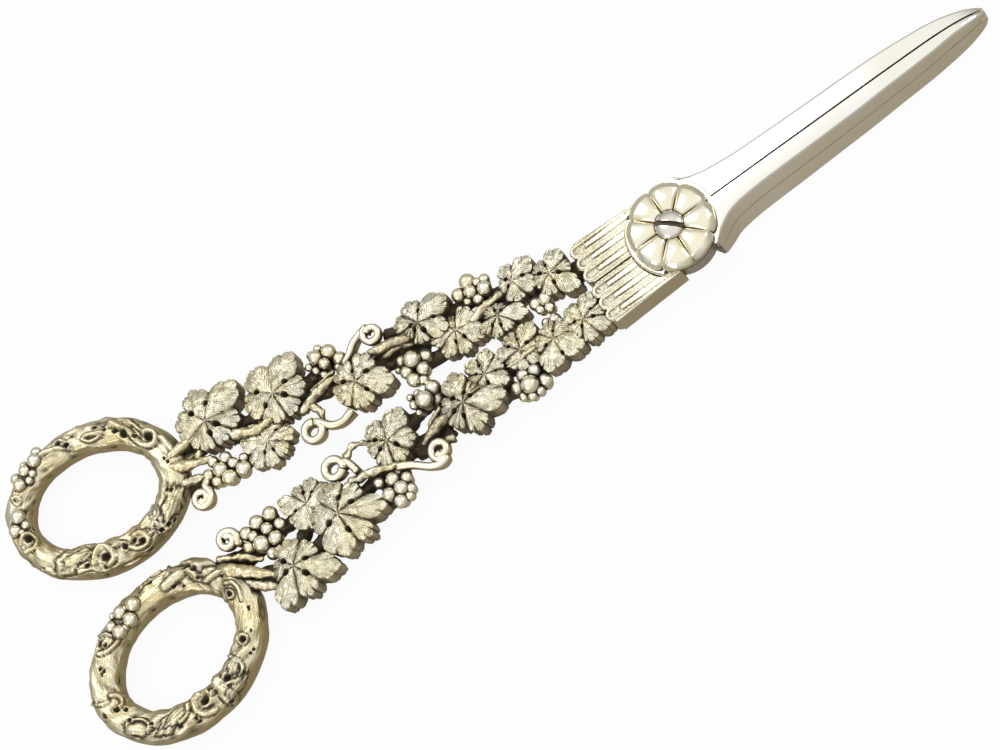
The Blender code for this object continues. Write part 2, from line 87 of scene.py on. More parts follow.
def settle():
    bpy.ops.object.transform_apply(location=True, rotation=True, scale=True)


def addStep(piece, kind, **settings):
    step = piece.modifiers.new(kind, kind)
    for key, value in settings.items():
        setattr(step, key, value)


def applyAll(piece):
    pick(piece)
    for step in list(piece.modifiers):
        bpy.ops.object.modifier_apply(modifier=step.name)


def readPoints(piece, key="co"):
    values = np.zeros(len(piece.data.vertices) * 3)
    piece.data.vertices.foreach_get(key, values)
    return values.reshape(-1, 3)


def writePoints(piece, points):
    piece.data.vertices.foreach_set("co", np.asarray(points, float).ravel())
    piece.data.update()


def setValues(piece, name, values):
    layer = piece.data.attributes.get(name) or piece.data.attributes.new(name, "FLOAT", "POINT")
    layer.data.foreach_set("value", np.asarray(values, np.float32))


def getValues(piece, name):
    values = np.zeros(len(piece.data.vertices), np.float32)
    layer = piece.data.attributes.get(name)
    if layer:
        layer.data.foreach_get("value", values)
    return values


def faceOut(piece):
    inEdit(piece, lambda: bpy.ops.mesh.normals_make_consistent(inside=False))


def smooth(piece, angle=180.0):
    pick(piece)
    if angle >= 180.0:
        bpy.ops.object.shade_smooth()
    else:
        bpy.ops.object.shade_smooth_by_angle(angle=math.radians(angle))


def joinPieces(name, pieces):
    pickNone()
    for piece in pieces:
        piece.select_set(True)
    bpy.context.view_layer.objects.active = pieces[0]
    bpy.ops.object.join()
    pieces[0].name = name
    pieces[0].data.name = name
    return pieces[0]


def rows(*columns):
    return np.stack(columns, 1)


def lumps(points, size, seed=0):
    # soft lumps from -1 to 1, a blend of random values on a grid of this size
    p = np.asarray(points, float) / size + 137.0 + seed * 17.31
    base = np.floor(p).astype(np.int64)
    part = p - base
    part = part * part * (3 - 2 * part)
    total = np.zeros(len(p))
    for corner in np.ndindex(2, 2, 2):
        a, b, c = (base + corner).T
        key = a * 73856093 ^ b * 19349663 ^ c * 83492791
        key = (key ^ (key >> 13)) * 1274126177
        value = ((key ^ (key >> 16)) & 65535) / 32767.5 - 1
        total += value * np.prod(np.where(corner, part, 1 - part), axis=1)
    return total


def ease(value, low, high):
    t = np.clip((value - low) / (high - low), 0, 1)
    return t * t * (3 - 2 * t)


def bell(value, width):
    return np.exp(-(value / width) ** 2)


def wrapTurn(angle):
    return np.mod(angle + math.pi, fullTurn) - math.pi


def pull(height):
    bpy.ops.mesh.extrude_region_move(TRANSFORM_OT_translate={"value": (0.0, 0.0, height)})


def drum(name, around, levels, closed=True):
    # a ring pulled up level by level; the height of a point is its level, until it is shaped
    piece = newShape(bpy.ops.mesh.primitive_circle_add, vertices=around, radius=1.0, fill_type="NOTHING")
    piece.name = name
    piece.data.name = name
    bpy.ops.object.mode_set(mode="EDIT")
    bpy.ops.mesh.select_all(action="SELECT")
    if closed:
        pull(-1.0)
        bpy.ops.mesh.merge(type="CENTER")
        bpy.ops.mesh.select_all(action="SELECT")
        bpy.ops.object.mode_set(mode="OBJECT")
        for vert in piece.data.vertices:
            vert.select = vert.co.z > -0.5
        for edge in piece.data.edges:
            edge.select = all(piece.data.vertices[i].co.z > -0.5 for i in edge.vertices)
        for face in piece.data.polygons:
            face.select = False
        bpy.ops.object.mode_set(mode="EDIT")
    for level in range(levels):
        pull(1.0)
    if closed:
        pull(1.0)
        bpy.ops.mesh.merge(type="CENTER")
    bpy.ops.object.mode_set(mode="OBJECT")
    points = readPoints(piece)
    return piece, np.arctan2(points[:, 1], points[:, 0]), np.round(points[:, 2]).astype(int)


def twig(name, places, radii, sides=3):
    # a round stem through these places, with its own thickness at each
    stem = newShape(bpy.ops.curve.primitive_nurbs_path_add)
    line = stem.data
    line.splines.clear()
    spline = line.splines.new("NURBS")
    spline.points.add(len(places) - 1)
    for point, place, radius in zip(spline.points, places, radii):
        point.co = (*place, 1.0)
        point.radius = radius
    spline.order_u = 3
    spline.use_endpoint_u = True
    spline.resolution_u = 6
    line.bevel_depth = 1.0
    line.bevel_resolution = sides
    line.use_fill_caps = True
    pick(stem)
    bpy.ops.object.convert(target="MESH")
    stem = bpy.context.object
    stem.name = name
    inEdit(stem, lambda: bpy.ops.mesh.remove_doubles(threshold=1e-6))
    settle()
    return stem


def ball(place, radius, segments, rings, tilt):
    piece = newShape(bpy.ops.mesh.primitive_uv_sphere_add, segments=segments, ring_count=rings, radius=radius,
                     location=place, rotation=(tilt, tilt * 0.6, tilt * 1.7))
    settle()
    return piece


class Wire:
    # one socket, on which sums and products add Math nodes
    def __init__(self, recipe, socket):
        self.recipe = recipe
        self.socket = socket

    def calc(self, operation, first, second):
        return self.recipe.add("ShaderNodeMath", {"operation": operation}, {0: first, 1: second})

    def __add__(self, other):
        return self.calc("ADD", self, other)

    def __radd__(self, other):
        return self.calc("ADD", other, self)

    def __sub__(self, other):
        return self.calc("SUBTRACT", self, other)

    def __rsub__(self, other):
        return self.calc("SUBTRACT", other, self)

    def __mul__(self, other):
        return self.calc("MULTIPLY", self, other)


class Recipe:
    # one material; add makes any node from its type, its settings and its sockets
    def __init__(self, name):
        self.material = bpy.data.materials.new(name)
        self.material.use_nodes = True
        self.tree = self.material.node_tree
        self.shader = self.tree.nodes["Principled BSDF"]

    def add(self, kind, settings=None, sockets=None, output=0):
        node = self.tree.nodes.new(kind)
        for key, value in (settings or {}).items():
            setattr(node, key, value)
        for key, value in (sockets or {}).items():
            self.put(node.inputs[key], value)
        return Wire(self, node.outputs[output])

    def put(self, socket, value):
        if isinstance(value, Wire):
            self.tree.links.new(value.socket, socket)
        else:
            socket.default_value = value

    def clip(self, value):
        return self.add("ShaderNodeMath", {"operation": "ADD", "use_clamp": True}, {0: value, 1: 0.0})

    def noise(self, where, scale, detail, roughness=0.5):
        return self.add("ShaderNodeTexNoise", None, {"Vector": where, "Scale": scale, "Detail": detail,
                                                     "Roughness": roughness})

    def mixTone(self, share, first, second):
        tones = [tone if isinstance(tone, Wire) else (*tone, 1.0) for tone in (first, second)]
        return self.add("ShaderNodeMix", {"data_type": "RGBA"}, {0: share, 6: tones[0], 7: tones[1]}, 2)


def giltMetal(name, look):
    # cast and gilded silver, gold and silver tones mixed at random; brown in the hollows as oxide and painted shade, a
    # darker painted reflection on steep side walls, painted shade on faces turned down
    make = Recipe(name)
    where = make.add("ShaderNodeTexCoord", output=3)
    recess = make.add("ShaderNodeAttribute", {"attribute_name": "recess"}, output=2)
    facing = make.add("ShaderNodeSeparateXYZ", None, {0: make.add("ShaderNodeNewGeometry", output=1)}, 2)
    wall = make.add("ShaderNodeMapRange", {"interpolation_type": "SMOOTHSTEP"},
                    {"Value": facing, "From Min": 0.12, "From Max": look["wallTo"], "To Min": 1.0, "To Max": 0.0})
    grain = make.noise(where, look["grainScale"], 3.0, 0.6)
    cloud = make.noise(where, look["cloudScale"], 2.0)
    stipple = make.add("ShaderNodeTexVoronoi", {"feature": "F1"}, {"Vector": where, "Scale": look["stippleScale"]})
    speck = make.clip((stipple * -1 + 0.62) * 2.2)
    # painted shade with oxide: the recess attribute (how shut in each point is) darkens the colour, roughened by grain
    dirtAndShade = make.clip((recess + (grain - 0.5) * look["dirtAndShadeGrain"] * (recess * 1.6 + 0.25)) * look["dirtAndShadeGain"]
                     - look["dirtAndShadeStart"])
    dirtAndShade = make.clip(dirtAndShade + (1 - speck) * look["stippleDirt"])
    height = grain * look["grainHeight"] + speck * look["stippleHeight"]
    # painted shade under things: faces turned down are darker
    if look["underShade"]:
        dirtAndShade = make.clip(dirtAndShade + make.clip(facing * -1.5 + 0.12) * look["underShade"])
    if look["strokeHeight"]:
        # fine chased lines, bent and broken by patches
        strokes = make.add("ShaderNodeAttribute", {"attribute_name": "strokes"}, output=2)
        patch = make.noise(where, 900.0, 1.0)
        bend = (cloud - 0.5) * 0.0006 + (patch - 0.5) * 0.00040 + (grain - 0.5) * 0.00022
        line = make.add("ShaderNodeMath", {"operation": "SINE"},
                        {0: (strokes + bend) * (fullTurn / look["strokePitch"])})
        line = line * make.clip((patch - 0.36) * 4.0)
        dirtAndShade = make.clip(dirtAndShade + make.clip(line * -1 - look["strokeFrom"]) * look["strokeDirt"])
        height = height + line * look["strokeHeight"]
    bright = make.mixTone(make.clip((cloud - 0.35) * 2.6), look["gold"], look["silver"])
    # painted reflection: steep side walls take a darker tan tone, standing in for a darker floor reflected in them
    bright = make.mixTone(make.clip(wall * look["wallReflectionShare"]), bright, look["wallReflectionTone"])
    make.put(make.shader.inputs["Base Color"], make.mixTone(dirtAndShade, bright, look["dark"]))
    make.put(make.shader.inputs["Metallic"], 1 - dirtAndShade * 0.45)
    make.put(make.shader.inputs["Roughness"],
             make.clip(look["rough"] + dirtAndShade * 0.35 + (cloud - 0.5) * look["roughSpread"] + wall * look["wallRough"]))
    bump = make.add("ShaderNodeBump", None, {"Strength": look["bump"], "Distance": 0.0001, "Height": height})
    make.put(make.shader.inputs["Normal"], bump)
    return make.material


plainLook = {
    "silver": (0.93, 0.9, 0.78), "gold": (0.9, 0.82, 0.57), "dark": (0.075, 0.058, 0.036),
    "wallReflectionTone": (0.46, 0.37, 0.2), "wallReflectionShare": 0.85, "wallTo": 0.6, "wallRough": 0.1, "rough": 0.2,
    "roughSpread": 0.1, "cloudScale": 160.0,
    "grainScale": 2600.0, "grainHeight": 0.5, "stippleScale": 4200.0, "stippleHeight": 0.0, "stippleDirt": 0.0,
    "dirtAndShadeGrain": 0.5, "dirtAndShadeGain": 1.5, "dirtAndShadeStart": 0.18, "underShade": 0.0, "strokeHeight": 0.0, "strokeDirt": 0.0,
    "strokeFrom": 0.1, "strokePitch": 0.0003, "bump": 0.5,
}
metalLooks = {
    "leaf": ("chasedLeafGilt", {
        "silver": (0.93, 0.9, 0.76), "gold": (0.9, 0.83, 0.56), "dark": (0.14, 0.108, 0.064),
        "wallReflectionTone": (0.42, 0.315, 0.14), "rough": 0.22, "grainHeight": 0.75, "stippleHeight": 0.4, "stippleDirt": 0.2,
        "underShade": 0.3, "strokeHeight": 0.5, "strokeDirt": 1.35, "strokeFrom": 0.3, "strokePitch": 0.00042,
        "bump": 0.55, "dirtAndShadeGain": 1.3}),
    "tendril": ("castTendrilGilt", {
        "silver": (0.95, 0.91, 0.76), "gold": (0.91, 0.82, 0.54), "wallReflectionTone": (0.43, 0.33, 0.15), "wallTo": 0.86,
        "wallReflectionShare": 0.92, "rough": 0.24, "underShade": 0.4, "stippleHeight": 0.15, "stippleDirt": 0.06}),
    "grape": ("burnishedGrapeGilt", {"rough": 0.22, "grainHeight": 0.35, "bump": 0.35, "dirtAndShadeStart": 0.3}),
    "bark": ("barkGilt", {
        "silver": (0.82, 0.77, 0.58), "gold": (0.74, 0.63, 0.36), "wallReflectionTone": (0.42, 0.325, 0.145), "wallTo": 0.92,
        "wallReflectionShare": 0.92, "rough": 0.26, "underShade": 0.45, "stippleHeight": 0.25, "stippleDirt": 0.1,
        "strokeHeight": 0.2, "strokeDirt": 0.18, "strokePitch": 0.00046, "bump": 0.6, "dirtAndShadeGain": 1.6,
        "dirtAndShadeStart": 0.04}),
    "shank": ("stippledShankGilt", {
        "silver": (0.97, 0.95, 0.83), "gold": (0.95, 0.89, 0.66), "dark": (0.17, 0.13, 0.065), "rough": 0.24,
        "stippleScale": 3600.0, "stippleHeight": 0.55, "stippleDirt": 0.14, "dirtAndShadeStart": 0.29}),
    "blade": ("polishedBladeGilt", {
        "silver": (0.93, 0.91, 0.85), "gold": (0.91, 0.88, 0.78), "rough": 0.11, "roughSpread": 0.03,
        "grainHeight": 0.0, "bump": 0.1, "wallReflectionShare": 0.64, "wallRough": 0.05, "cloudScale": 90.0}),
    "rosette": ("polishedRosetteGilt", {
        "silver": (0.94, 0.91, 0.78), "gold": (0.91, 0.86, 0.64), "dark": (0.2, 0.11, 0.045), "rough": 0.13,
        "roughSpread": 0.04, "grainHeight": 0.05, "bump": 0.2}),
    "screw": ("screwSilver", {
        "silver": (0.83, 0.805, 0.755), "gold": (0.8, 0.75, 0.67), "rough": 0.15, "roughSpread": 0.06,
        "grainHeight": 0.2, "bump": 0.25}),
}
metals = {kind: giltMetal(name, {**plainLook, **look}) for kind, (name, look) in metalLooks.items()}


def dress(piece, metal, half, slot, *nodes):
    body = half + "_half"
    piece.data.materials.clear()
    piece.data.materials.append(metals[metal])
    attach(piece, body)
    if nodes:
        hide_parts(*nodes)
    if metal != "screw":
        halves[half].append(piece)


# leaves

leafLook = {
    "around": 288, "rings": 36, "teeth": 1.5, "toothSize": 0.06, "finger": 0.02, "notchShare": 0.84, "notchEdge": 12.0,
    "taper": 0.15, "taperGain": 0.65, "taperMost": 0.36, "puff": 0.42, "valley": 0.12, "droop": 0.42,
    "veinDepth": 0.09, "beside": 0.05, "sideVein": 0.07, "cut": 0.28, "ripple": 0.26, "fineRipple": 0.09,
    "pitDepth": 1.25, "pitAlong": 0.4, "pitAcross": 0.31, "pitPlace": 0.58, "lip": 0.34, "fold": 0.15, "slit": 0.16,
    "thick": 1.15,
}


def carveLeaf(name, lobes, size, wallDrop, seed):
    # a vine leaf on its own flat sheet, in millimetres round its hub; lobes are (degrees, length)
    look = leafLook
    scale = size / 6
    piece, angle, level = drum(name, look["around"], look["rings"] + 4)
    angle = np.mod(angle, fullTurn)
    lobes = sorted((math.radians(a % 360), r) for a, r in lobes)
    middle = sum(r for a, r in lobes) / len(lobes)
    splits = []
    for (a, r), (b, s) in zip(lobes, lobes[1:] + lobes[:1]):
        split = a + (b - a) % fullTurn * (0.5 + 0.18 * (r - s) / (r + s))
        splits.append((split, min(r, s) * look["notchShare"]))
    # x runs from -1 to 1 across each lobe, lean is the angle off its middle line
    x, reach, lean = np.zeros((3, len(angle)))
    for i, (a, r) in enumerate(lobes):
        off = wrapTurn(angle - a)
        narrow = min(look["taperMost"], max(0.05, look["taper"] + look["taperGain"] * (r / middle - 1)))
        for sign, (split, notch) in ((1, splits[i]), (-1, splits[i - 1])):
            span = sign * (split - a) % fullTurn
            side = ((off >= 0) if sign > 0 else (off < 0)) & (sign * off <= span + 1e-9)
            x[side] = off[side] / span
            share = np.abs(x[side])
            body = r * (1 - narrow * share ** 1.4)
            reach[side] = body - (body - np.minimum(body, notch)) * share ** look["notchEdge"]
            lean[side] = off[side]
    shift = 0.10 * np.sin(seed + angle * 2)
    tooth = np.abs(np.sin(math.pi * (x * look["teeth"] + 0.5 + shift)))
    nick = np.abs(np.sin(math.pi * (x * look["teeth"] * 3 + 0.5 + shift * 3)))
    teeth = look["toothSize"] * (tooth ** 0.55 - 0.6) + look["finger"] * (nick ** 0.6 - 0.6)
    reach = reach + size * teeth * (1.1 - np.abs(x) ** 6)
    q = 1 - (np.clip(level - 3, 0, look["rings"] + 1) / (look["rings"] + 1)) ** 1.12
    r = q * reach
    px, py = r * np.cos(angle), r * np.sin(angle)
    d, u = np.abs(r * np.sin(lean)), r * np.cos(lean)
    # a raised main vein with a groove on each side, side veins, and a cut at each tooth
    puff = look["puff"] * scale * (1 - x ** 2) * np.sin(math.pi * q ** 0.8)
    valley = look["valley"] * scale * np.abs(x) ** 7 * ease(q, 0.30, 0.60)
    fade = 1 - 0.75 * q
    main = bell(d, 0.12) * fade * ease(q, 0.04, 0.26)
    beside = bell(d - 0.27, 0.08) * fade * ease(q, 0.24, 0.46)
    pitch = max(0.75, scale)
    side = np.abs(np.mod((u - 1.05 * d) / pitch, 1.0) - 0.5) * 2
    vein = bell((1 - side) * pitch / 2, 0.085) * ease(d, 0.15, 0.45) * (1 - ease(q, 0.9, 1.0))
    cut = (1 - tooth) ** 8 * ease(q, 0.84, 1.0) + 0.4 * (1 - nick) ** 8 * ease(q, 0.92, 1.0)
    droop = look["droop"] * scale
    sheet = rows(px, py, px * 0)
    height = (puff - valley + look["veinDepth"] * main - look["beside"] * beside - look["sideVein"] * vein
              - look["cut"] * cut - droop * q ** 4 + lumps(sheet + (0, 0, seed), 1.5, seed) * look["ripple"]
              + lumps(sheet, 0.5, seed) * look["fineRipple"])
    # darker in the grooves beside the main vein, the side veins and the tooth cuts: oxide and painted shade
    dark = 0.20 * beside + 0.17 * vein + 0.6 * cut
    for k, (split, notch) in enumerate(splits):
        # a drilled pit where two lobes meet, and the slit between them
        off = wrapTurn(angle - split)
        along = r * np.cos(off) - notch * (look["pitPlace"] + 0.07 * math.sin(seed * 1.7 + k))
        across = r * np.sin(off)
        grow = scale * (0.85 + 0.3 * math.sin(seed * 2.3 + k * 1.9) ** 2)
        e = np.hypot(along / (look["pitAlong"] * grow), across / (look["pitAcross"] * grow))
        near = (np.abs(off) < 1.2) * (math.sin(seed * 2.9 + k * 2.2) > -0.5)
        hole = ease(-e, -1.15, -0.55) * near
        lip = bell(e - 1.45, 0.32) * near * (0.35 + 0.65 * ease(-along, -0.2, 0.5))
        # the lobe on one side of the line lies a little over its neighbour
        over = 1 if math.sin(seed * 4.1 + k * 2.6) > 0 else -1
        line = ease(along, 0.0, 0.5) * (np.abs(off) < 0.6)
        fold = over * np.tanh(across / 0.10) * np.exp(-np.abs(across) / 0.9) * line
        slit = bell(across + over * 0.10, 0.09) * line * (0.35 + 0.65 * ease(q, 0.75, 1.0))
        height = height - look["pitDepth"] * hole + look["lip"] * lip + look["fold"] * fold - look["slit"] * slit
        # the pits and slits are darker: painted shade with oxide; the lips round the pits are lighter
        dark = np.maximum(dark * (1 - 0.8 * np.clip(lip, 0, 1)), np.maximum(hole * 1.2, slit * 0.26))
    # the lowest rings of the drum are the wall under the edge
    wall = level <= 3
    height = np.where(wall, -droop - look["cut"] * cut - valley * 0.6, height)
    step = np.clip(level + 1, 0, 5)
    drop = np.array((wallDrop, wallDrop, wallDrop * 0.5, 0.30, 0.08, 0.0))[step]
    inset = np.array((0.0, 0.965, 0.985, 1.0, 1.0, 1.0))[step]
    flat = rows(px * inset, py * inset, height - drop)
    flat[level <= 0, 2] = -wallDrop - droop
    # painted shade on the side walls under the leaf's edge, uneven
    dark = np.where(wall, np.clip(0.42 + 0.45 * lumps(sheet + (0, 0, 3), 0.9, seed + 2), 0, 0.9), dark)
    setValues(piece, "oxideAndShade", np.clip(dark, 0, 1.2))
    setValues(piece, "strokes", (u - 0.95 * d) * mm)
    return piece, flat


# hub, height of the top, lobes (degrees, length) and tilt, as seen from above, in millimetres
leafPlaces = {
    "over_leaf_1": ((-20.3, 6.3), 5.35, ((120, 3.0), (40, 4.3), (-8, 3.6), (-55, 5.4), (-125, 3.4), (178, 2.9)),
        (0.0, 0.03)),
    "over_leaf_2": ((-26.0, 9.0), 5.35, ((92, 3.2), (25, 4.8), (-40, 4.0), (-105, 3.2), (165, 2.3)),
        (0.0, 0.03)),
    "over_leaf_3": ((-31.0, 6.0), 4.7, ((195, 3.9), (-130, 3.6), (-75, 3.2), (-28, 5.0), (35, 2.0), (140, 2.3)),
        (0.0, 0.05)),
    "over_leaf_4": ((-38.0, 8.2), 4.45, ((30, 4.2), (-45, 4.8), (-95, 4.2), (-145, 4.6), (170, 4.6), (90, 2.5)),
        (0.0, 0.05)),
    "over_leaf_5": ((-42.5, 12.8), 5.35, ((88, 4.1), (150, 4.2), (12, 6.3), (-42, 5.2), (-112, 3.3),
        (-165, 2.6)), (0.02, 0.0)),
    "over_leaf_6": ((-56.2, 11.0), 5.2, ((105, 3.9), (38, 4.9), (-32, 6.3), (-100, 4.6), (-162, 4.2)),
        (0.0, 0.02)),
    "over_leaf_7": ((-68.8, 17.8), 5.35, ((108, 5.9), (33, 7.3), (-18, 5.6), (-68, 5.0), (-112, 4.9),
        (174, 5.3)), (0.02, 0.0)),
    "over_leaf_8": ((-73.8, 12.0), 4.3, ((150, 4.8), (212, 4.9), (-112, 4.4), (-62, 3.8), (-12, 4.6),
        (40, 4.2)), (0.0, 0.04)),
    "over_leaf_9": ((-80.7, 20.8), 5.35, ((88, 6.1), (150, 5.4), (238, 4.7), (-70, 4.9), (-32, 5.6), (22, 8.0)),
        (-0.02, 0.0)),
    "under_leaf_1": ((-19.8, -3.4), 5.35, ((120, 3.6), (42, 4.6), (-5, 3.6), (-45, 4.6), (-100, 3.8),
        (-150, 3.0)), (0.0, -0.02)),
    "under_leaf_2": ((-25.6, -3.2), 5.35, ((85, 3.0), (22, 3.7), (-45, 5.2), (-132, 5.2), (165, 3.0)),
        (0.0, -0.02)),
    "under_leaf_3": ((-31.0, -1.2), 4.9, ((160, 4.4), (108, 3.5), (35, 4.9), (-15, 3.6), (-160, 3.2)),
        (0.0, 0.02)),
    "under_leaf_4": ((-38.0, -1.0), 4.7, ((120, 3.8), (55, 4.3), (5, 3.6), (-45, 4.2), (-140, 3.0), (170, 3.0)),
        (0.0, 0.0)),
    "under_leaf_5": ((-43.2, -3.0), 5.35, ((82, 5.4), (25, 3.5), (-22, 7.0), (-88, 5.4), (-140, 4.2),
        (165, 3.8)), (0.02, 0.0)),
    "under_leaf_6": ((-57.0, -0.6), 5.1, ((112, 4.4), (38, 5.8), (-28, 4.6), (-82, 4.4), (-128, 4.2),
        (172, 3.6)), (0.0, 0.0)),
    "under_leaf_7": ((-70.0, -5.8), 5.35, ((75, 5.2), (25, 5.4), (-25, 8.2), (-66, 6.8), (-108, 7.0),
        (155, 4.8)), (0.02, 0.0)),
    "under_leaf_8": ((-73.6, -1.2), 4.6, ((140, 5.3), (100, 3.8), (52, 4.4), (15, 4.6), (-150, 4.2)),
        (0.0, -0.02)),
    "under_leaf_9": ((-80.6, -8.8), 5.35, ((78, 4.6), (18, 4.6), (-33, 7.6), (-88, 5.6), (-134, 7.0),
        (165, 3.6)), (-0.02, 0.0)),
}


def vineName(node):
    return node.replace("_", "Vine", 1)


def dressVine(piece, metal, slot, node):
    smooth(piece)
    dress(piece, metal, node.split("_")[0], slot, node)


for number, (node, (hub, top, lobes, tilt)) in enumerate(leafPlaces.items()):
    longest = max(length for angle, length in lobes)
    piece, flat = carveLeaf(vineName(node), lobes, longest, top - leafLook["thick"], number * 1.37)
    x, y, z = flat.T
    writePoints(piece, rows(hub[0] + x, hub[1] + y, top + z + tilt[0] * x + tilt[1] * y) * mm)
    faceOut(piece)
    dressVine(piece, "leaf", "chased_gilt", node)
print("leaves done")

# grapes: place of each from above and its radius, in millimetres

grapePlaces = {
    "over_grapes_1": ((-25.0, 4.2, 1.0), (-23.2, 3.8, 1.05), (-24.9, 2.8, 0.65), (-23.4, 2.3, 0.8)),
    "over_grapes_2": ((-34.7, 13.2, 1.05), (-32.3, 14.1, 1.15), (-32.7, 12.3, 0.95), (-30.5, 11.4, 1.05),
        (-34.0, 11.3, 0.6), (-32.3, 10.6, 0.8), (-29.8, 12.8, 0.8), (-31.0, 13.0, 0.65)),
    "over_grapes_3": ((-46.6, 8.6, 1.25), (-48.5, 7.4, 0.95), (-45.9, 6.3, 1.0), (-48.2, 5.6, 1.0),
        (-48.3, 9.8, 0.85), (-44.6, 8.1, 1.0), (-46.9, 4.8, 0.75), (-49.6, 8.8, 0.5)),
    "over_grapes_4": ((-59.9, 18.9, 1.0), (-57.7, 18.6, 1.1), (-59.1, 17.0, 0.8), (-56.7, 16.6, 1.0),
        (-61.0, 17.1, 0.6), (-61.7, 18.3, 0.6), (-57.6, 15.5, 0.65), (-60.5, 20.0, 0.65), (-58.9, 20.0, 0.65),
        (-60.2, 15.7, 0.55)),
    "over_grapes_5": ((-83.5, 14.8, 0.85), (-81.3, 14.0, 0.9), (-85.2, 13.2, 0.85), (-83.0, 12.7, 1.1),
        (-82.3, 10.6, 1.15), (-79.7, 10.6, 1.15), (-84.5, 11.4, 0.85), (-80.6, 12.4, 0.8), (-78.8, 12.3, 0.7),
        (-86.0, 11.6, 0.5)),
    "under_grapes_1": ((-25.3, 0.6, 0.7), (-23.8, 0.0, 0.9)),
    "under_grapes_2": ((-33.0, -4.6, 1.0), (-31.0, -5.0, 1.0), (-32.8, -6.8, 1.3), (-30.4, -7.4, 1.0),
        (-34.8, -5.9, 0.9), (-34.7, -7.6, 0.75), (-32.0, -8.5, 0.65), (-33.5, -8.6, 0.65)),
    "under_grapes_3": ((-48.4, 1.6, 1.25), (-46.4, 2.8, 1.15), (-46.6, 0.8, 0.9), (-50.3, 2.0, 0.7),
        (-50.3, 3.6, 0.55), (-48.9, 3.4, 0.6), (-50.3, 0.6, 0.55)),
    "under_grapes_4": ((-62.0, -5.2, 0.85), (-59.7, -6.2, 1.05), (-58.3, -5.6, 0.6), (-61.4, -8.1, 1.0),
        (-59.2, -8.3, 1.05), (-57.6, -7.3, 0.85), (-60.4, -10.1, 1.0), (-57.9, -9.2, 0.75),
        (-58.8, -10.1, 0.7)),
    "under_grapes_5": ((-84.9, 1.1, 1.0), (-82.5, 1.6, 1.1), (-79.9, 1.6, 1.1), (-85.6, -1.1, 0.9),
        (-83.5, -2.0, 1.25), (-81.0, -2.6, 1.05), (-81.4, -0.5, 0.85), (-79.4, -0.8, 0.95), (-82.8, -4.3, 0.95),
        (-84.0, -0.2, 0.75)),
}
grapeLook = {"swell": 1.2, "high": 4.35, "slope": 1.1, "uneven": 0.25, "under": 1.6}
for number, (node, places) in enumerate(grapePlaces.items()):
    look = grapeLook
    balls = []
    middle = np.mean([place[:2] for place in places], axis=0)
    far = max(math.dist(place[:2], middle) for place in places)
    for k, (x, y, radius) in enumerate(places):
        away = math.dist((x, y), middle) / far
        rise = look["high"] - look["slope"] * away * away + look["uneven"] * math.sin(k * 2.1 + number)
        swell = radius * look["swell"]
        balls.append(ball((x * mm, y * mm, rise * mm), swell * mm, 22, 14, 0.4 + k * 0.9))
        # a second one below it, drawn in, fills the bunch
        low = (x - (x - middle[0]) * 0.15, y - (y - middle[1]) * 0.15, rise - look["under"])
        balls.append(ball([c * mm for c in low], swell * 0.95 * mm, 18, 10, 1.3 + k))
    dressVine(joinPieces(vineName(node), balls), "grape", "burnished_gilt", node)
print("grapes done")

# tendrils: middle, outer and inner radius, start and sweep in degrees, height, half thickness, and the tail

tendrilPlaces = {
    "over_tendril_1": ((-50.0, 16.4), 1.55, 1.0, 95, -400, 4.5, 0.66, ((-51.7, 17.6, 4.3), (-53.4, 17.1, 4.2),
        (-55.0, 15.7, 4.1), (-56.6, 15.0, 3.9))),
    "over_tendril_2": ((-66.5, 8.5), 1.6, 1.5, 50, 350, 4.4, 0.74, ((-64.6, 8.8, 4.4), (-63.7, 7.6, 4.4),
        (-62.2, 6.8, 4.4), (-60.6, 6.9, 4.4), (-59.4, 7.6, 4.2))),
    "over_tendril_3": ((-88.0, 10.4), 1.8, 0.55, 40, 560, 4.4, 0.68, ((-86.4, 12.2, 4.2), (-85.4, 12.9, 3.9))),
    "under_tendril_1": ((-50.6, -6.9), 1.75, 0.85, -75, 440, 4.4, 0.72, ((-51.6, -9.1, 4.3), (-53.4, -8.3, 4.4),
        (-54.8, -7.0, 4.4), (-56.2, -5.8, 4.4), (-58.0, -5.0, 4.4))),
    "under_tendril_2": ((-66.9, 1.1), 1.6, 1.5, -30, -350, 4.4, 0.74, ((-64.9, 1.4, 4.3), (-64.2, 0.2, 4.2),
        (-63.9, -1.6, 4.0))),
    "under_tendril_3": ((-88.0, 1.8), 1.75, 0.6, -10, -480, 4.4, 0.68, ((-87.0, 0.2, 4.2), (-86.2, 0.6, 3.9))),
}
tendrilLook = {"line": 4.4, "deeper": 2.2, "uneven": 0.04}


def coil(mid, outer, inner, start, sweep, height):
    # a curl round mid
    steps = max(8, int(abs(sweep) / 22))
    for k in range(steps + 1):
        t = k / steps
        turn = math.radians(start - sweep * (1 - t))
        reach = inner + (outer - inner) * t
        yield mid[0] + reach * math.cos(turn), mid[1] + reach * math.sin(turn), height


def shapeTwig(name, places, thick, grow):
    radii = [thick * mm * (1 - grow + grow * math.sin(k * 1.3)) for k in range(len(places))]
    radii[0] = thick * 1.1 * mm
    return twig(name, [Vector(p) * mm for p in places], radii, 4)


for node, (*curl, thick, tail) in tendrilPlaces.items():
    piece = shapeTwig(vineName(node), (*coil(*curl), *tail), thick, tendrilLook["uneven"])
    # cast work is taller than it is wide: what lies under the middle height goes further down
    points = readPoints(piece)
    points[:, 2] += np.minimum(points[:, 2] - tendrilLook["line"] * mm, 0) * tendrilLook["deeper"]
    writePoints(piece, points)
    faceOut(piece)
    dressVine(piece, "tendril", "burnished_gilt", node)
print("tendrils done")

# bark stems over the back layer: places and half thickness

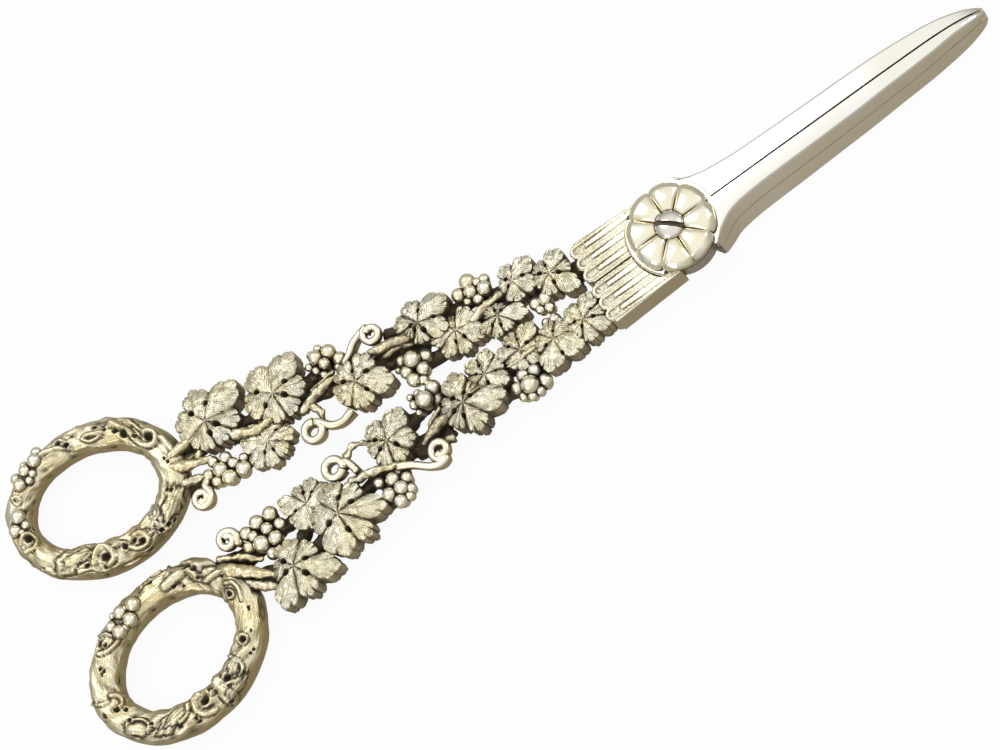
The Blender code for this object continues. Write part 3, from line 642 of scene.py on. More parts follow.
stemPlaces = {
    "over": (
        (((-35.2, 7.9, 3.6), (-33.0, 8.5, 3.9), (-30.5, 8.9, 4.0), (-28.0, 9.0, 3.8), (-26.8, 8.6, 3.4)), 0.75),
        (((-44.0, 12.2, 4.0), (-47.0, 12.7, 4.2), (-50.0, 13.4, 4.3), (-53.0, 14.2, 4.2), (-55.6, 14.3, 3.9)),
         0.85),
        (((-44.5, 10.6, 3.6), (-46.5, 11.6, 3.8), (-49.0, 12.3, 3.8), (-51.0, 12.2, 3.4)), 0.55),
        (((-66.5, 12.6, 3.4), (-64.0, 13.6, 3.9), (-61.5, 14.1, 4.1), (-58.8, 14.0, 4.1), (-56.4, 13.3, 3.9)),
         0.75),
        (((-64.9, 13.4, 3.6), (-64.0, 11.6, 3.8), (-64.0, 9.6, 3.9), (-64.3, 8.4, 3.9)), 0.6),
        (((-63.5, 14.4, 3.8), (-61.0, 15.2, 3.9), (-58.5, 15.0, 3.8)), 0.45),
        (((-78.5, 16.4, 4.2), (-76.2, 15.1, 4.6), (-73.8, 14.3, 4.8), (-71.5, 14.4, 4.7), (-70.2, 15.0, 4.3)),
         0.75),
        (((-91.2, 19.0, 3.6), (-89.4, 19.7, 4.3), (-87.4, 19.7, 4.5), (-85.2, 20.0, 4.4), (-82.8, 20.4, 3.9)),
         1.0),
        (((-91.4, 16.7, 3.9), (-89.3, 17.6, 4.5), (-87.3, 16.7, 4.6), (-85.3, 15.9, 4.4), (-83.2, 15.3, 3.9)),
         1.05),
        (((-91.0, 14.4, 3.3), (-89.0, 14.5, 3.9), (-87.0, 13.9, 3.9), (-85.2, 13.3, 3.5)), 0.8),
        (((-91.0, 17.8, 2.6), (-88.6, 18.2, 2.9), (-86.0, 17.8, 2.8), (-83.6, 17.6, 2.6)), 0.85),
        (((-86.0, 16.2, 3.6), (-84.6, 17.4, 3.8), (-83.4, 18.9, 3.8)), 0.55),
    ),
    "under": (
        (((-27.0, -2.0, 4.6), (-29.5, -2.3, 4.9), (-32.0, -2.7, 4.9), (-34.4, -2.3, 4.6)), 0.4),
        (((-46.6, -2.8, 3.8), (-48.6, -3.0, 4.1), (-50.6, -3.9, 4.1), (-52.6, -4.3, 3.9)), 0.8),
        (((-47.0, -1.0, 3.7), (-48.8, -1.6, 4.0), (-50.2, -2.8, 4.0)), 0.55),
        (((-66.0, -2.4, 3.8), (-63.6, -2.8, 4.2), (-61.0, -3.4, 4.4), (-58.4, -4.4, 4.4), (-56.4, -5.4, 4.3)),
         0.75),
        (((-64.3, 1.4, 4.2), (-63.2, 2.4, 4.2), (-61.6, 2.5, 4.2), (-60.2, 1.6, 4.0), (-59.0, 0.8, 3.8)), 0.55),
        (((-47.6, -6.4, 3.4), (-49.2, -6.2, 3.8), (-50.4, -6.2, 3.8)), 0.7),
        (((-92.0, -1.4, 3.8), (-90.3, -2.6, 4.5), (-88.4, -4.3, 4.6), (-86.0, -6.3, 4.5), (-83.6, -8.3, 4.2)),
         1.15),
        (((-90.8, -4.8, 3.3), (-88.4, -6.5, 3.9), (-86.4, -8.3, 4.0), (-84.4, -9.6, 3.7)), 0.9),
        (((-91.4, 0.2, 3.2), (-89.0, -0.6, 3.7), (-86.6, -2.6, 3.6), (-84.6, -4.2, 3.4)), 0.75),
    ),
}
# the root under the leaves: places from above and half the thickness there, in millimetres
rootPlaces = {
    "over": (
        ((-15.2, 4.4, 1.9), (-20.3, 6.0, 1.7), (-26.0, 7.8, 1.5), (-31.0, 7.4, 1.4), (-38.0, 9.0, 1.5),
         (-42.5, 11.8, 1.5), (-50.0, 13.2, 1.1), (-56.5, 12.8, 1.4), (-62.0, 14.0, 1.1), (-68.8, 16.4, 1.6),
         (-75.0, 17.2, 1.3), (-81.0, 19.4, 1.6), (-87.0, 19.3, 1.2), (-91.6, 17.6, 1.4)),
        ((-29.0, 6.6, 1.2), (-34.0, 5.8, 1.2), (-38.5, 6.8, 1.4), (-43.0, 7.4, 1.1), (-47.0, 7.4, 1.4)),
        ((-47.0, 7.8, 1.2), (-45.0, 10.0, 1.1), (-42.5, 12.0, 1.3)),
        ((-62.0, 14.2, 1.0), (-60.2, 16.4, 1.1), (-58.6, 18.0, 1.2)),
        ((-68.8, 16.0, 1.4), (-73.0, 12.6, 1.5), (-78.0, 11.8, 1.2), (-82.3, 12.3, 1.5), (-87.0, 13.6, 1.1),
         (-91.6, 14.6, 1.4)),
        ((-20.3, 6.0, 1.3), (-24.2, 3.6, 1.1)),
        ((-27.0, 8.6, 1.2), (-32.3, 12.2, 1.4), (-37.5, 12.0, 1.1), (-42.0, 12.8, 1.3)),
        ((-42.5, 13.0, 1.2), (-45.5, 14.8, 1.0), (-48.6, 15.8, 1.2)),
        ((-43.5, 9.6, 1.1), (-49.4, 11.0, 1.2), (-53.5, 12.2, 1.2)),
        ((-66.5, 16.6, 1.2), (-62.8, 17.0, 1.1), (-59.5, 18.4, 1.2)),
        ((-74.0, 13.6, 1.1), (-76.6, 15.2, 1.1), (-79.5, 17.6, 1.2)),
    ),
    "under": (
        ((-15.2, -3.3, 1.9), (-19.8, -3.4, 1.7), (-25.6, -3.3, 1.5), (-31.0, -2.2, 1.3), (-38.0, -1.6, 1.5),
         (-43.2, -2.6, 1.6), (-49.0, -2.8, 1.2), (-53.0, -3.2, 1.2), (-57.0, -3.0, 1.4), (-63.0, -3.8, 1.2),
         (-70.0, -5.6, 1.7), (-75.0, -7.2, 1.3), (-80.6, -8.2, 1.6), (-86.0, -6.0, 1.2), (-91.8, -3.2, 1.4)),
        ((-43.2, -2.4, 1.3), (-46.4, 0.4, 1.2), (-48.4, 2.0, 1.4)),
        ((-25.6, -3.6, 1.2), (-30.0, -5.0, 1.1), (-32.6, -6.6, 1.5), (-37.0, -4.6, 1.1), (-42.0, -4.0, 1.3)),
        ((-57.0, -1.0, 1.3), (-57.4, -4.4, 1.1), (-59.6, -8.0, 1.5), (-64.0, -8.2, 1.0), (-69.0, -7.6, 1.3)),
        ((-70.0, -5.0, 1.4), (-73.6, -1.6, 1.5), (-78.0, -1.2, 1.2), (-82.3, -1.0, 1.6), (-87.0, -2.2, 1.1),
         (-91.2, -2.4, 1.3)),
        ((-20.0, -3.0, 1.3), (-24.5, 0.2, 1.0)),
        ((-48.0, 1.8, 1.2), (-51.6, 1.0, 1.1), (-54.8, -0.2, 1.2)),
        ((-73.8, -2.4, 1.2), (-78.2, -3.9, 1.1), (-80.6, -7.2, 1.3)),
        ((-84.0, -0.4, 1.2), (-87.6, -0.9, 1.1), (-91.4, 0.0, 1.2)),
        ((-47.6, -4.2, 1.3), (-50.4, -5.4, 1.1), (-54.6, -4.4, 1.1)),
    ),
}
vineLook = {"lowest": 1.55, "voxel": 0.24, "lump": 0.30, "fineLump": 0.18, "dark": 0.70, "bark": 0.34, "stemGrow": 1.12,
            "uneven": 0.22}


def roughen(piece, amount, seed):
    # bark: ridges drawn out along the piece, with knots
    points = readPoints(piece) / mm
    piece.data.update()
    bumps = lumps(points, 0.55, seed) * 0.5 + lumps(points, 1.3, seed + 3) * 0.7
    writePoints(piece, (points + readPoints(piece, "normal") * (bumps * amount)[:, None]) * mm)
    # oxide and painted shade in the low parts of the bark
    setValues(piece, "oxideAndShade", np.clip(-bumps * 0.60 - 0.04, 0, 1))
    setValues(piece, "strokes", points[:, 2] * mm)


def buildVine(half, seed):
    # a forked root carries the leaves, melted into one lumpy cast piece
    look = vineLook
    roots = []
    for places in rootPlaces[half]:
        path = [Vector((x, y, max(r + 0.1, look["lowest"]))) * mm for x, y, r in places]
        roots.append(twig("root", path, [r * mm for x, y, r in places]))
    back = joinPieces(half + "VineBack", roots)
    addStep(back, "REMESH", mode="VOXEL", voxel_size=look["voxel"] * mm)
    addStep(back, "SMOOTH", iterations=8)
    applyAll(back)
    points = readPoints(back) / mm
    bumps = lumps(points, 1.6, seed) * look["lump"] + lumps(points, 0.7, seed + 5) * look["fineLump"]
    points = points + readPoints(back, "normal") * bumps[:, None]
    points[:, 2] = np.maximum(points[:, 2], 0.02)
    writePoints(back, points * mm)
    # painted shade with oxide on the back layer under the leaves: dark all over, darker in the low parts of the lumps
    # and towards the bottom
    setValues(back, "oxideAndShade", np.clip(look["dark"] - bumps + 0.5 * ease(-points[:, 2], -2.9, -1.6), 0, 1))
    stems = []
    for k, (places, thick) in enumerate(stemPlaces[half]):
        stem = shapeTwig("stem", places, thick * look["stemGrow"], look["uneven"])
        addStep(stem, "SUBSURF", levels=1, render_levels=1)
        applyAll(stem)
        roughen(stem, look["bark"], seed + k)
        stems.append(stem)
    dressVine(joinPieces(half + "VineBack", [back] + stems), "bark", "oxidised_gilt", half + "_vine")


buildVine("over", 2)
buildVine("under", 9)
print("vine backs done")

# finger rings

ringLook = {"alongHalf": {"over": 13.7, "under": 13.75}, "acrossHalf": 10.45, "tube": 2.65, "lean": 12.2,
            "sMiddle": {"over": 104.45, "under": 103.78}, "vMiddle": {"over": 15.3, "under": 15.03}, "square": 2.5,
            "innerTrim": {"over": 1.0, "under": 0.2}, "outerGrow": {"over": 0.15, "under": 0.5},
            "knot": 0.24, "streak": 0.11, "nub": 0.24, "cordWide": 1.15, "edgeDepth": 0.22, "pitWide": 1.05,
            "fruit": 1.12}
# what is chased on each ring, placed by degrees round the ring and round the branch, sizes in millimetres:
# cords (places, half width, rise), pits (place, radius), grapes (place, radius), plates (middle, tip, half width, rise)
ringDress = {
    "over": {
        "cords": (
            (((58, 70), (62, 68), (68, 76), (72, 86), (76, 102)), 0.34, 0.34),
            (((71, 70), (74, 54), (78, 72), (81, 98), (79, 118)), 0.24, 0.26),
            (((92, 100), (94, 90), (100, 92), (108, 94), (114, 72), (121, 50)), 0.36, 0.4),
            (((92, 100), (96, 116), (102, 114), (106, 104)), 0.26, 0.3),
            (((114, 66), (123, 76), (130, 86), (137, 106), (144, 112), (151, 106), (154, 80), (150, 58),
             (144, 56), (141, 74)), 0.46, 0.55),
            (((140, 72), (133, 64), (126, 50)), 0.26, 0.3),
            (((154, 52), (162, 52), (171, 48)), 0.5, 0.3),
            (((218, 144), (218, 102), (223, 86), (228, 96), (226, 124), (218, 144)), 0.2, 0.28),
            (((264, 114), (257, 106), (253, 76), (248, 52), (242, 50), (239, 68), (241, 100), (247, 110)), 0.4,
             0.45),
            (((281, 68), (280, 102), (276, 124), (270, 122), (266, 96), (266, 68), (271, 56)), 0.48, 0.55),
            (((344, 66), (348, 84), (347, 110), (340, 122), (333, 110), (332, 86), (336, 60)), 0.36, 0.42),
            (((22, 60), (24, 76), (22, 96), (17, 92), (18, 72), (22, 60)), 0.18, 0.22),
            (((316, 44), (310, 46), (308, -4)), 0.3, 0.25),
            (((292, 52), (284, 62), (278, 52), (278, 6)), 0.34, 0.32),
            (((263, 24), (255, 22), (248, 0)), 0.3, 0.25),
            (((232, 46), (226, 30), (221, -6), (217, -22)), 0.34, 0.35),
            (((204, 90), (202, 72), (204, 42), (208, 20)), 0.42, 0.35),
        ),
        "pits": ((74, 74, 0.36), (79, 96, 0.42), (146, 78, 0.62), (126, 98, 0.6), (171, 90, 0.25),
            (175, 82, 0.25), (200, 78, 0.32), (200, 96, 0.26), (182, 56, 0.3), (224, 40, 0.38), (212, 24, 0.32),
            (230, 46, 0.36), (248, 88, 0.4), (244, 68, 0.46), (256, 88, 0.44), (244, 24, 0.34), (272, 84, 0.66),
            (274, 50, 0.34), (276, 18, 0.26), (342, 96, 0.56), (136, 96, 0.3), (102, 70, 0.3), (88, 34, 0.28),
            (350, 134, 0.25), (318, 42, 0.28), (330, 16, 0.3), (286, 68, 0.34), (84, 74, 0.22), (220, 24, 0.3),
            (110, 86, 0.32), (118, 92, 0.34)),
        "grapes": ((54, 68, 1.1), (58, 44, 0.9), (44, 62, 0.95), (46, 94, 0.6), (46, 36, 0.75), (33, 74, 1.02),
            (36, 36, 0.9), (40, 98, 0.62), (6, 90, 1.15), (356, 110, 0.7), (355, 68, 1.02), (351, 88, 0.5)),
        "plates": (((299, 92), (306, -8), 1.75, 0.42), ((292, 102), (282, 118), 0.9, 0.34),
            ((210, 62), (226, 52), 1.35, 0.5), ((242, 78), (235, 70), 0.9, 0.25),
            ((121, 62), (130, 58), 1.1, 0.3), ((224, 16), (220, -22), 0.8, 0.35)),
    },
    "under": {
        "cords": (
            (((233, 78), (239, 88), (246, 100)), 0.8, 0.55),
            (((247, 34), (242, 34), (240, 34), (240, 66), (244, 70)), 0.26, 0.34),
            (((256, 34), (251, 34), (246, 34)), 0.26, 0.28),
            (((262, 56), (258, 34), (254, 48)), 0.24, 0.25),
            (((298, 116), (303, 114), (310, 96), (313, 68)), 0.36, 0.42),
            (((302, 40), (298, 66), (298, 92)), 0.28, 0.34),
            (((349, 104), (352, 128), (0, 132), (5, 114), (2, 88)), 0.34, 0.4),
            (((346, 26), (352, 64), (353, 88)), 0.28, 0.3),
            (((92, 100), (87, 128), (80, 136), (76, 112), (76, 80), (80, 56), (86, 50)), 0.5, 0.55),
            (((120, 134), (121, 98), (119, 68), (115, 58)), 0.3, 0.34),
            (((140, 118), (140, 86), (136, 76), (132, 92), (134, 116), (140, 118)), 0.2, 0.28),
            (((188, 114), (184, 96), (178, 98), (177, 118), (184, 128), (188, 114)), 0.18, 0.24),
            (((72, 118), (70, 94), (66, 80), (62, 76)), 0.28, 0.36),
            (((19, 76), (24, 102), (33, 106), (39, 86), (38, 64)), 0.26, 0.28),
            (((101, 88), (106, 70), (110, 54)), 0.3, 0.3),
            (((211, 108), (203, 70), (196, 34), (188, 16)), 0.5, 0.4),
            (((193, 94), (188, 74), (180, 74), (170, 88)), 0.3, 0.22),
        ),
        "pits": ((244, 36, 0.52), (255, 60, 0.34), (258, 60, 0.3), (228, 58, 0.4), (222, 68, 0.36),
            (218, 100, 0.3), (306, 56, 0.46), (306, 80, 0.3), (324, 80, 0.3), (326, 94, 0.28), (328, 86, 0.24),
            (335, 154, 0.24), (4, 96, 0.42), (11, 116, 0.34), (0, 52, 0.36), (20, 90, 0.32), (347, 42, 0.3),
            (318, 34, 0.3), (84, 98, 0.68), (92, 108, 0.3), (96, 32, 0.38), (106, 92, 0.5), (115, 54, 0.3),
            (116, 40, 0.26), (136, 98, 0.44), (142, 106, 0.22), (143, 72, 0.22), (131, 52, 0.24),
            (128, 58, 0.2), (160, 74, 0.22), (162, 74, 0.2), (182, 112, 0.36), (73, 62, 0.28), (74, 48, 0.28),
            (40, 92, 0.24), (240, 114, 0.26), (232, 122, 0.24), (199, 74, 0.26), (198, 66, 0.2), (61, 62, 0.3)),
        "grapes": ((272, 86, 1.18), (282, 70, 1.08), (281, 114, 1.15), (293, 108, 1.1), (293, 72, 0.85),
            (278, 74, 0.6), (288, 116, 0.6), (287, 50, 0.6)),
        "plates": (((221, 30), (207, 36), 1.5, 0.48), ((223, 86), (216, 106), 0.7, 0.3),
            ((56, 88), (46, 56), 1.15, 0.42), ((64, 108), (54, 84), 1.0, 0.3), ((98, 58), (97, -6), 1.1, 0.36),
            ((115, 94), (110, 88), 0.9, 0.45), ((29, 70), (38, 72), 0.95, 0.5), ((30, 44), (33, 46), 0.4, 0.3),
            ((106, 46), (113, 40), 0.9, 0.28)),
    },
}


def toWorld(s, v, side):
    # from along and across the handle to x and y
    sine, cosine = math.sin(handleYaw), math.cos(handleYaw)
    return -s * cosine + side * v * sine, s * sine + side * v * cosine


def ringFrame(t, half):
    # middle line of the branch at turn t, with its outward direction, in world millimetres
    look = ringLook
    side = 1 if half == "over" else -1
    sine, cosine = math.sin(math.radians(look["lean"])), math.cos(math.radians(look["lean"]))
    a, b = look["alongHalf"][half], look["acrossHalf"]
    along, across = a * np.cos(t), b * np.sin(t)
    outAlong, outAcross = b * np.cos(t), a * np.sin(t)
    size = np.hypot(outAlong, outAcross)
    x, y = toWorld(look["sMiddle"][half] + along * cosine - across * sine,
                   look["vMiddle"][half] + along * sine + across * cosine, side)
    ox, oy = toWorld((outAlong * cosine - outAcross * sine) / size, (outAlong * sine + outAcross * cosine) / size, side)
    return x, y, ox, oy


def ringPoint(t, turn, reach, half):
    # turn is round the branch: 0 is the outer side, 90 degrees the top
    x, y, ox, oy = ringFrame(t, half)
    n = ringLook["square"]
    fuller = (np.abs(np.cos(turn)) ** n + np.abs(np.sin(turn)) ** n) ** (-1 / n)
    out = reach * fuller * np.cos(turn)
    lift = np.maximum(ringLook["tube"] + reach * fuller * np.sin(turn), 0.0)
    return np.stack([x + ox * out, y + oy * out, lift], -1)


def onRing(place, half, lift=0.0):
    # a place in degrees on the branch, in world millimetres
    return ringPoint(*np.radians(place), ringLook["tube"] + lift, half)


def softPath(path):
    path = np.array(path)
    for step in range(3):
        first = path[:-1] * 0.75 + path[1:] * 0.25
        second = path[:-1] * 0.25 + path[1:] * 0.75
        path = np.concatenate([path[:1], np.stack([first, second], 1).reshape(-1, 3), path[-1:]])
    return path


def farFrom(points, path):
    # distance of every point from a path
    best = np.full(len(points), 1e9)
    for a, b in zip(path[:-1], path[1:]):
        way = b - a
        share = np.clip((points - a) @ way / max(way @ way, 1e-9), 0, 1)
        best = np.minimum(best, np.linalg.norm(points - a - share[:, None] * way, axis=1))
    return best


def buildRing(half, seed):
    look = ringLook
    forms = ringDress[half]
    ring = newShape(bpy.ops.mesh.primitive_torus_add, major_segments=700, minor_segments=112, major_radius=3.0,
                    minor_radius=1.0)
    ring.name = half + "RingBranch"
    points = readPoints(ring)
    t = np.arctan2(points[:, 1], points[:, 0])
    turn = np.arctan2(points[:, 2], np.hypot(points[:, 0], points[:, 1]) - 3.0)
    sine, cosine = np.sin(turn), np.cos(turn)
    # the branch itself: knots, nubs and bark drawn out along it
    loose = rows(np.cos(t) * 12, np.sin(t) * 12 + 2.6 * cosine, 2.6 * sine)
    streak = rows(np.cos(t) * 6, np.sin(t) * 6 + cosine * 6, sine * 6)
    fine = lumps(streak, 0.80, seed + 1) * 0.6 + lumps(streak, 1.7, seed + 2) * 0.7
    nubs = lumps(loose, 1.2, seed + 4)
    top = ease(sine, -0.2, 0.4)
    crest = ease(sine, -0.05, 0.55)
    surface = ringPoint(t, turn, look["tube"], half)
    outer = np.clip(np.cos(t), 0, 1) ** 1.5
    reach = (look["tube"] + 0.02 + lumps(loose, 3.4, seed) * look["knot"]
             + (fine * look["streak"] + nubs * look["nub"]) * (0.22 + 0.78 * top)
             - look["innerTrim"][half] * outer * np.clip(-cosine, 0, 1)
             + look["outerGrow"][half] * outer * np.clip(cosine, 0, 1))
    broken = ease(lumps(loose, 0.9, seed + 9), -0.1, 0.5)
    # oxide and painted shade in the low parts of the streaks and nubs, on the top of the branch
    oxideAndShade = (np.clip(-fine * 0.70 - 0.12, 0, 1) * broken + np.clip(-nubs - 0.22, 0, 1) * 0.9) * top
    strokes = np.where((cosine < -0.25) & (sine < 0.75), 0.0, turn * look["tube"])
    raised, edge = np.zeros((2, len(t)))
    unevenShade = 0.55 + 0.45 * lumps(surface, 1.1, seed + 7)
    for middle, tip, wide, rise in forms["plates"]:
        # a small leaf with a midrib, lying on the branch
        middle = onRing(middle, half)
        along = onRing(tip, half) - middle
        long = float(np.clip(np.linalg.norm(along) * 1.15, wide * 1.1, 2.9))
        along = along / np.linalg.norm(along)
        near = surface - middle
        close = near[np.linalg.norm(near, axis=1) < 0.8]
        spread = np.linalg.svd(close - close.mean(0), full_matrices=False)[2]
        across = np.cross(spread[2], along)
        across /= np.linalg.norm(across)
        a, b = near @ along, near @ across
        here = np.abs(near @ spread[2]) < 2.0
        phi = np.arctan2(b / wide, a / long)
        e = np.hypot(a / long, b / wide) * (1 + 0.13 * np.cos(5 * phi + 2.6) + 0.05 * np.cos(13 * phi))
        body = ease(-e, -1.08, -0.86) * here
        dome = np.clip(1 - e * e, 0, 1) * here
        inside = ease(-e, -0.95, -0.75)
        rib = bell(b, 0.13) * inside
        beside = bell(np.abs(b) - 0.27, 0.08) * inside
        raised = np.maximum(raised, rise * body * (0.55 + 0.45 * dome) + 0.10 * rib * body - 0.07 * beside * body)
        edge = np.maximum(edge, bell(e - 1.13, 0.10) * here)
        # oxide and painted shade in the grooves beside the midrib
        oxideAndShade = oxideAndShade * (1 - 0.85 * body) + 0.34 * beside * body
        strokes = np.where(body > 0.4, a - np.abs(b) * 0.95, strokes)
    for places, wide, rise in forms["cords"]:
        d = farFrom(surface, softPath([onRing(place, half) for place in places]))
        wide = wide * look["cordWide"]
        body = np.clip(1 - (d / wide) ** 2, 0, 1) ** 0.65
        raised = np.maximum(raised, rise * body)
        # painted shadow beside each cord, uneven along it
        shade = bell(d - wide - 0.10, 0.12) * unevenShade
        edge = np.maximum(edge * (1 - body), shade)
        oxideAndShade = oxideAndShade * (1 - 0.85 * body)
    reach = reach + raised * (0.3 + 0.9 * crest) - look["edgeDepth"] * edge * crest
    # painted shadow along the edges of the cords and plates
    oxideAndShade = np.maximum(oxideAndShade, edge * 0.78)
    for place, turned, radius in forms["pits"]:
        e = np.linalg.norm(surface - onRing((place, turned), half), axis=1) / (radius * look["pitWide"])
        hole = ease(-e, -1.15, -0.50)
        lip = bell(e - 1.5, 0.35)
        reach = reach - hole * (0.45 + 1.1 * radius) + 0.16 * lip
        # painted shade with oxide in the pits; the lips round them are lighter
        oxideAndShade = np.maximum(oxideAndShade * (1 - 0.7 * lip), hole * 1.3)
    writePoints(ring, ringPoint(t, turn, reach, half) * mm)
    setValues(ring, "oxideAndShade", np.clip(oxideAndShade, 0, 1.3))
    setValues(ring, "strokes", strokes * mm)
    faceOut(ring)
    smooth(ring)
    dress(ring, "bark", half, "chased_gilt", half + "_ring")
    fruit = [ball(Vector(onRing((place, turned), half, radius * 0.12)) * mm, radius * look["fruit"] * mm, 26, 18, place)
             for place, turned, radius in forms["grapes"]]
    fruit = joinPieces(half + "RingFruit", fruit)
    smooth(fruit)
    dress(fruit, "grape", half, "burnished_gilt")


buildRing("over", 3)
buildRing("under", 12)
print("finger rings done")

# fluted shanks

shankLook = {"reach": 16.0, "halfNear": 7.0, "halfFar": 7.6, "height": 5.25, "notchBack": 2.8, "bite": 7.95,
             "archStart": 0.85, "archSize": 1.2, "line": 0.5, "gap": 0.15, "pitch": 2.28, "ridge": 0.95,
             "innerRidge": 0.7, "tongueFrom": 1.9, "ridgeRise": 0.24, "tongueRise": 0.13, "panDepth": 0.20,
             "stipple": 0.045}


def farEnd(y):
    return (y * math.sin(handleYaw) - shankLook["reach"]) / math.cos(handleYaw) + shankLook["archStart"]


def buildShank(half, side):
    look = shankLook
    shank = newShape(bpy.ops.mesh.primitive_grid_add, x_subdivisions=190, y_subdivisions=110, size=2.0)
    shank.name = half + "ShankBlock"
    bpy.ops.object.mode_set(mode="EDIT")
    bpy.ops.mesh.select_all(action="SELECT")
    bpy.ops.mesh.region_to_loop()
    for level in range(3):
        pull(-1.0)
    bpy.ops.mesh.edge_face_add()
    bpy.ops.object.mode_set(mode="OBJECT")
    points = readPoints(shank)
    u, w = (points[:, 0] + 1) / 2, (points[:, 1] + 1) / 2
    level = np.round(-points[:, 2]).astype(int)
    # the near end bites round the lap plates, the far end is scalloped by the flutes
    inner = look["line"] + side * look["gap"]
    outer = look["line"] + side * (look["halfFar"] * (1 - u) + look["halfNear"] * u)
    y = inner + (outer - inner) * w
    arches = [inner + side * (0.25 + look["pitch"] * (k + 0.5)) for k in range(3)]
    scallops = [np.sqrt(np.maximum(look["archSize"] ** 2 - (y - middle) ** 2, 0)) for middle in arches]
    xFar = farEnd(y) - np.max(scallops, axis=0)
    bite = np.sqrt(np.maximum(look["bite"] ** 2 - y ** 2, 0))
    corner = ease(np.abs(y - look["line"]), 5.9, 6.1)
    xNear = -np.maximum(look["notchBack"], bite * (1 - corner) + look["notchBack"] * corner)
    x = xFar + (xNear - xFar) * u
    z, dark, stipple = np.full(len(x), look["height"]), np.zeros(len(x)), np.ones(len(x))
    for middle in arches:
        # a double ridge round a sunk pan, with a tongue up its middle
        end = farEnd(middle)
        d = np.hypot(np.maximum(end - x, 0), y - middle)
        run = np.clip(x - end, 0, 20)
        ridge = bell(d - look["ridge"], 0.13) + 0.75 * bell(d - look["innerRidge"], 0.10)
        ridge = ridge * (1 - 0.65 * ease(run, 2.0, 8.0))
        tip = np.hypot(np.maximum(end + look["tongueFrom"] - x, 0), y - middle)
        fat = 0.32 + 0.16 * ease(run, 1.5, 7.0)
        tongue = ease(-tip, -fat - 0.08, -fat + 0.10)
        pan = ease(-d, -0.66, -0.52) * (1 - tongue) * (1 - 0.75 * ease(run, 3.5, 8.5))
        z = z + look["ridgeRise"] * ridge + look["tongueRise"] * tongue - look["panDepth"] * pan
        # the sunk pans and the line between the ridges are darker: painted shade with oxide; the stipple pits are
        # darker too
        dark = np.maximum(dark, 0.50 * pan + 0.16 * bell(d - 0.825, 0.06) * (1 - ease(run, 2.0, 7.0)))
        stipple = np.minimum(stipple, 1 - np.clip(ridge + 0.6 * tongue, 0, 1))
    grain = lumps(rows(x, y, z * 0), 0.17, 4)
    rim = np.minimum(np.minimum(u, 1 - u) * 13, np.minimum(w, 1 - w) * 7)
    z = z + (level == 0) * (grain * look["stipple"] * stipple - 0.10 * bell(rim, 0.10))
    z = np.select([level == 1, level == 2, level == 3], [look["height"] - 0.25, look["height"] * 0.5, 0.0], z)
    writePoints(shank, rows(x, y, z) * mm)
    setValues(shank, "oxideAndShade", dark + np.clip(-grain - 0.2, 0, 1) * 0.5 * stipple * (level <= 2))
    faceOut(shank)
    smooth(shank, 50)
    shank["shade"] = 0.45
    dress(shank, "shank", half, "chased_gilt", half + "_shank")


buildShank("over", 1)
buildShank("under", -1)
print("shanks done")

# rosette, screw and nut

rosetteLook = {"radius": 7.35, "petals": 8, "low": 6.45, "high": 8.3, "dish": 2.45, "around": 384, "rings": 44,
               "groove": 0.09, "round": 0.10, "flare": 0.55}


def buildRosette():
    look = rosetteLook
    low, rings = look["low"], look["rings"]
    piece, angle, level = drum("rosettePetals", look["around"], rings + 3, closed=False)
    # x runs from -1 to 1 across each petal, t from 0 at the dish to 1 at the edge
    x = np.mod(angle * look["petals"] / fullTurn, 1.0) * 2 - 1
    edge = look["radius"] * (1 - look["round"] + look["round"] * np.sqrt(np.clip(1 - x ** 4, 0, 1)))
    r = edge * (1 - np.clip(level - 2, 0, rings) / rings * (1 - look["dish"] / look["radius"]))
    t = (r - look["dish"]) / (look["radius"] - look["dish"])
    crown = np.sqrt(np.clip(1 - np.clip((t - 0.42) / 0.60, -1, 1) ** 2, 0, 1))
    arch = np.clip(1 - np.abs(x) ** 2.8, 0, 1) ** 0.7
    high = low + 0.25 + (look["high"] - low - 0.25) * (0.30 + 0.70 * crown) * (0.55 + 0.45 * arch)
    high = high - look["flare"] * ease(t, 0.75, 1.0) * (0.4 + 0.6 * np.abs(x))
    z = np.select([level == 0, level == 1, level == 2, level >= rings + 3],
                  [low, low + 0.12, low + 0.35, low + 0.05], high)
    r = np.select([level == 0, level == 1], [edge * 0.985, edge], r)
    writePoints(piece, rows(r * np.cos(angle), r * np.sin(angle), z) * mm)
    groove = bell((1 - np.abs(x)) * r * math.pi / look["petals"], look["groove"])
    # painted shade in the grooves between the petals and in a ring round the dish
    dark = groove * (0.05 + 0.24 * ease(-t, -0.45, 0.0)) + bell(r - look["dish"], 0.22) * 0.8
    setValues(piece, "oxideAndShade", np.clip(dark, 0, 1))
    pick(piece)
    bpy.ops.object.mode_set(mode="EDIT")
    bpy.ops.mesh.select_all(action="DESELECT")
    bpy.ops.mesh.select_non_manifold()
    bpy.ops.mesh.bridge_edge_loops()
    bpy.ops.object.mode_set(mode="OBJECT")
    faceOut(piece)
    smooth(piece, 60)
    dress(piece, "rosette", "over", "polished_gilt", "rosette")


screwLook = {"head": 2.45, "flat": 0.5, "seat": 7.62, "shaft": 1.5, "slot": (6.0, 0.82, 1.5), "slotTurn": -41.0,
             "slotHeight": 8.75, "nut": 3.0, "nutHeight": 1.4, "bore": 1.7, "notch": (1.1, 0.9, 0.9), "notchPlace": 2.9}


def cylinder(radius, depth, vertices, height=0.0):
    return newShape(bpy.ops.mesh.primitive_cylinder_add, vertices=vertices, radius=radius * mm, depth=depth * mm,
                    location=(0, 0, height * mm))


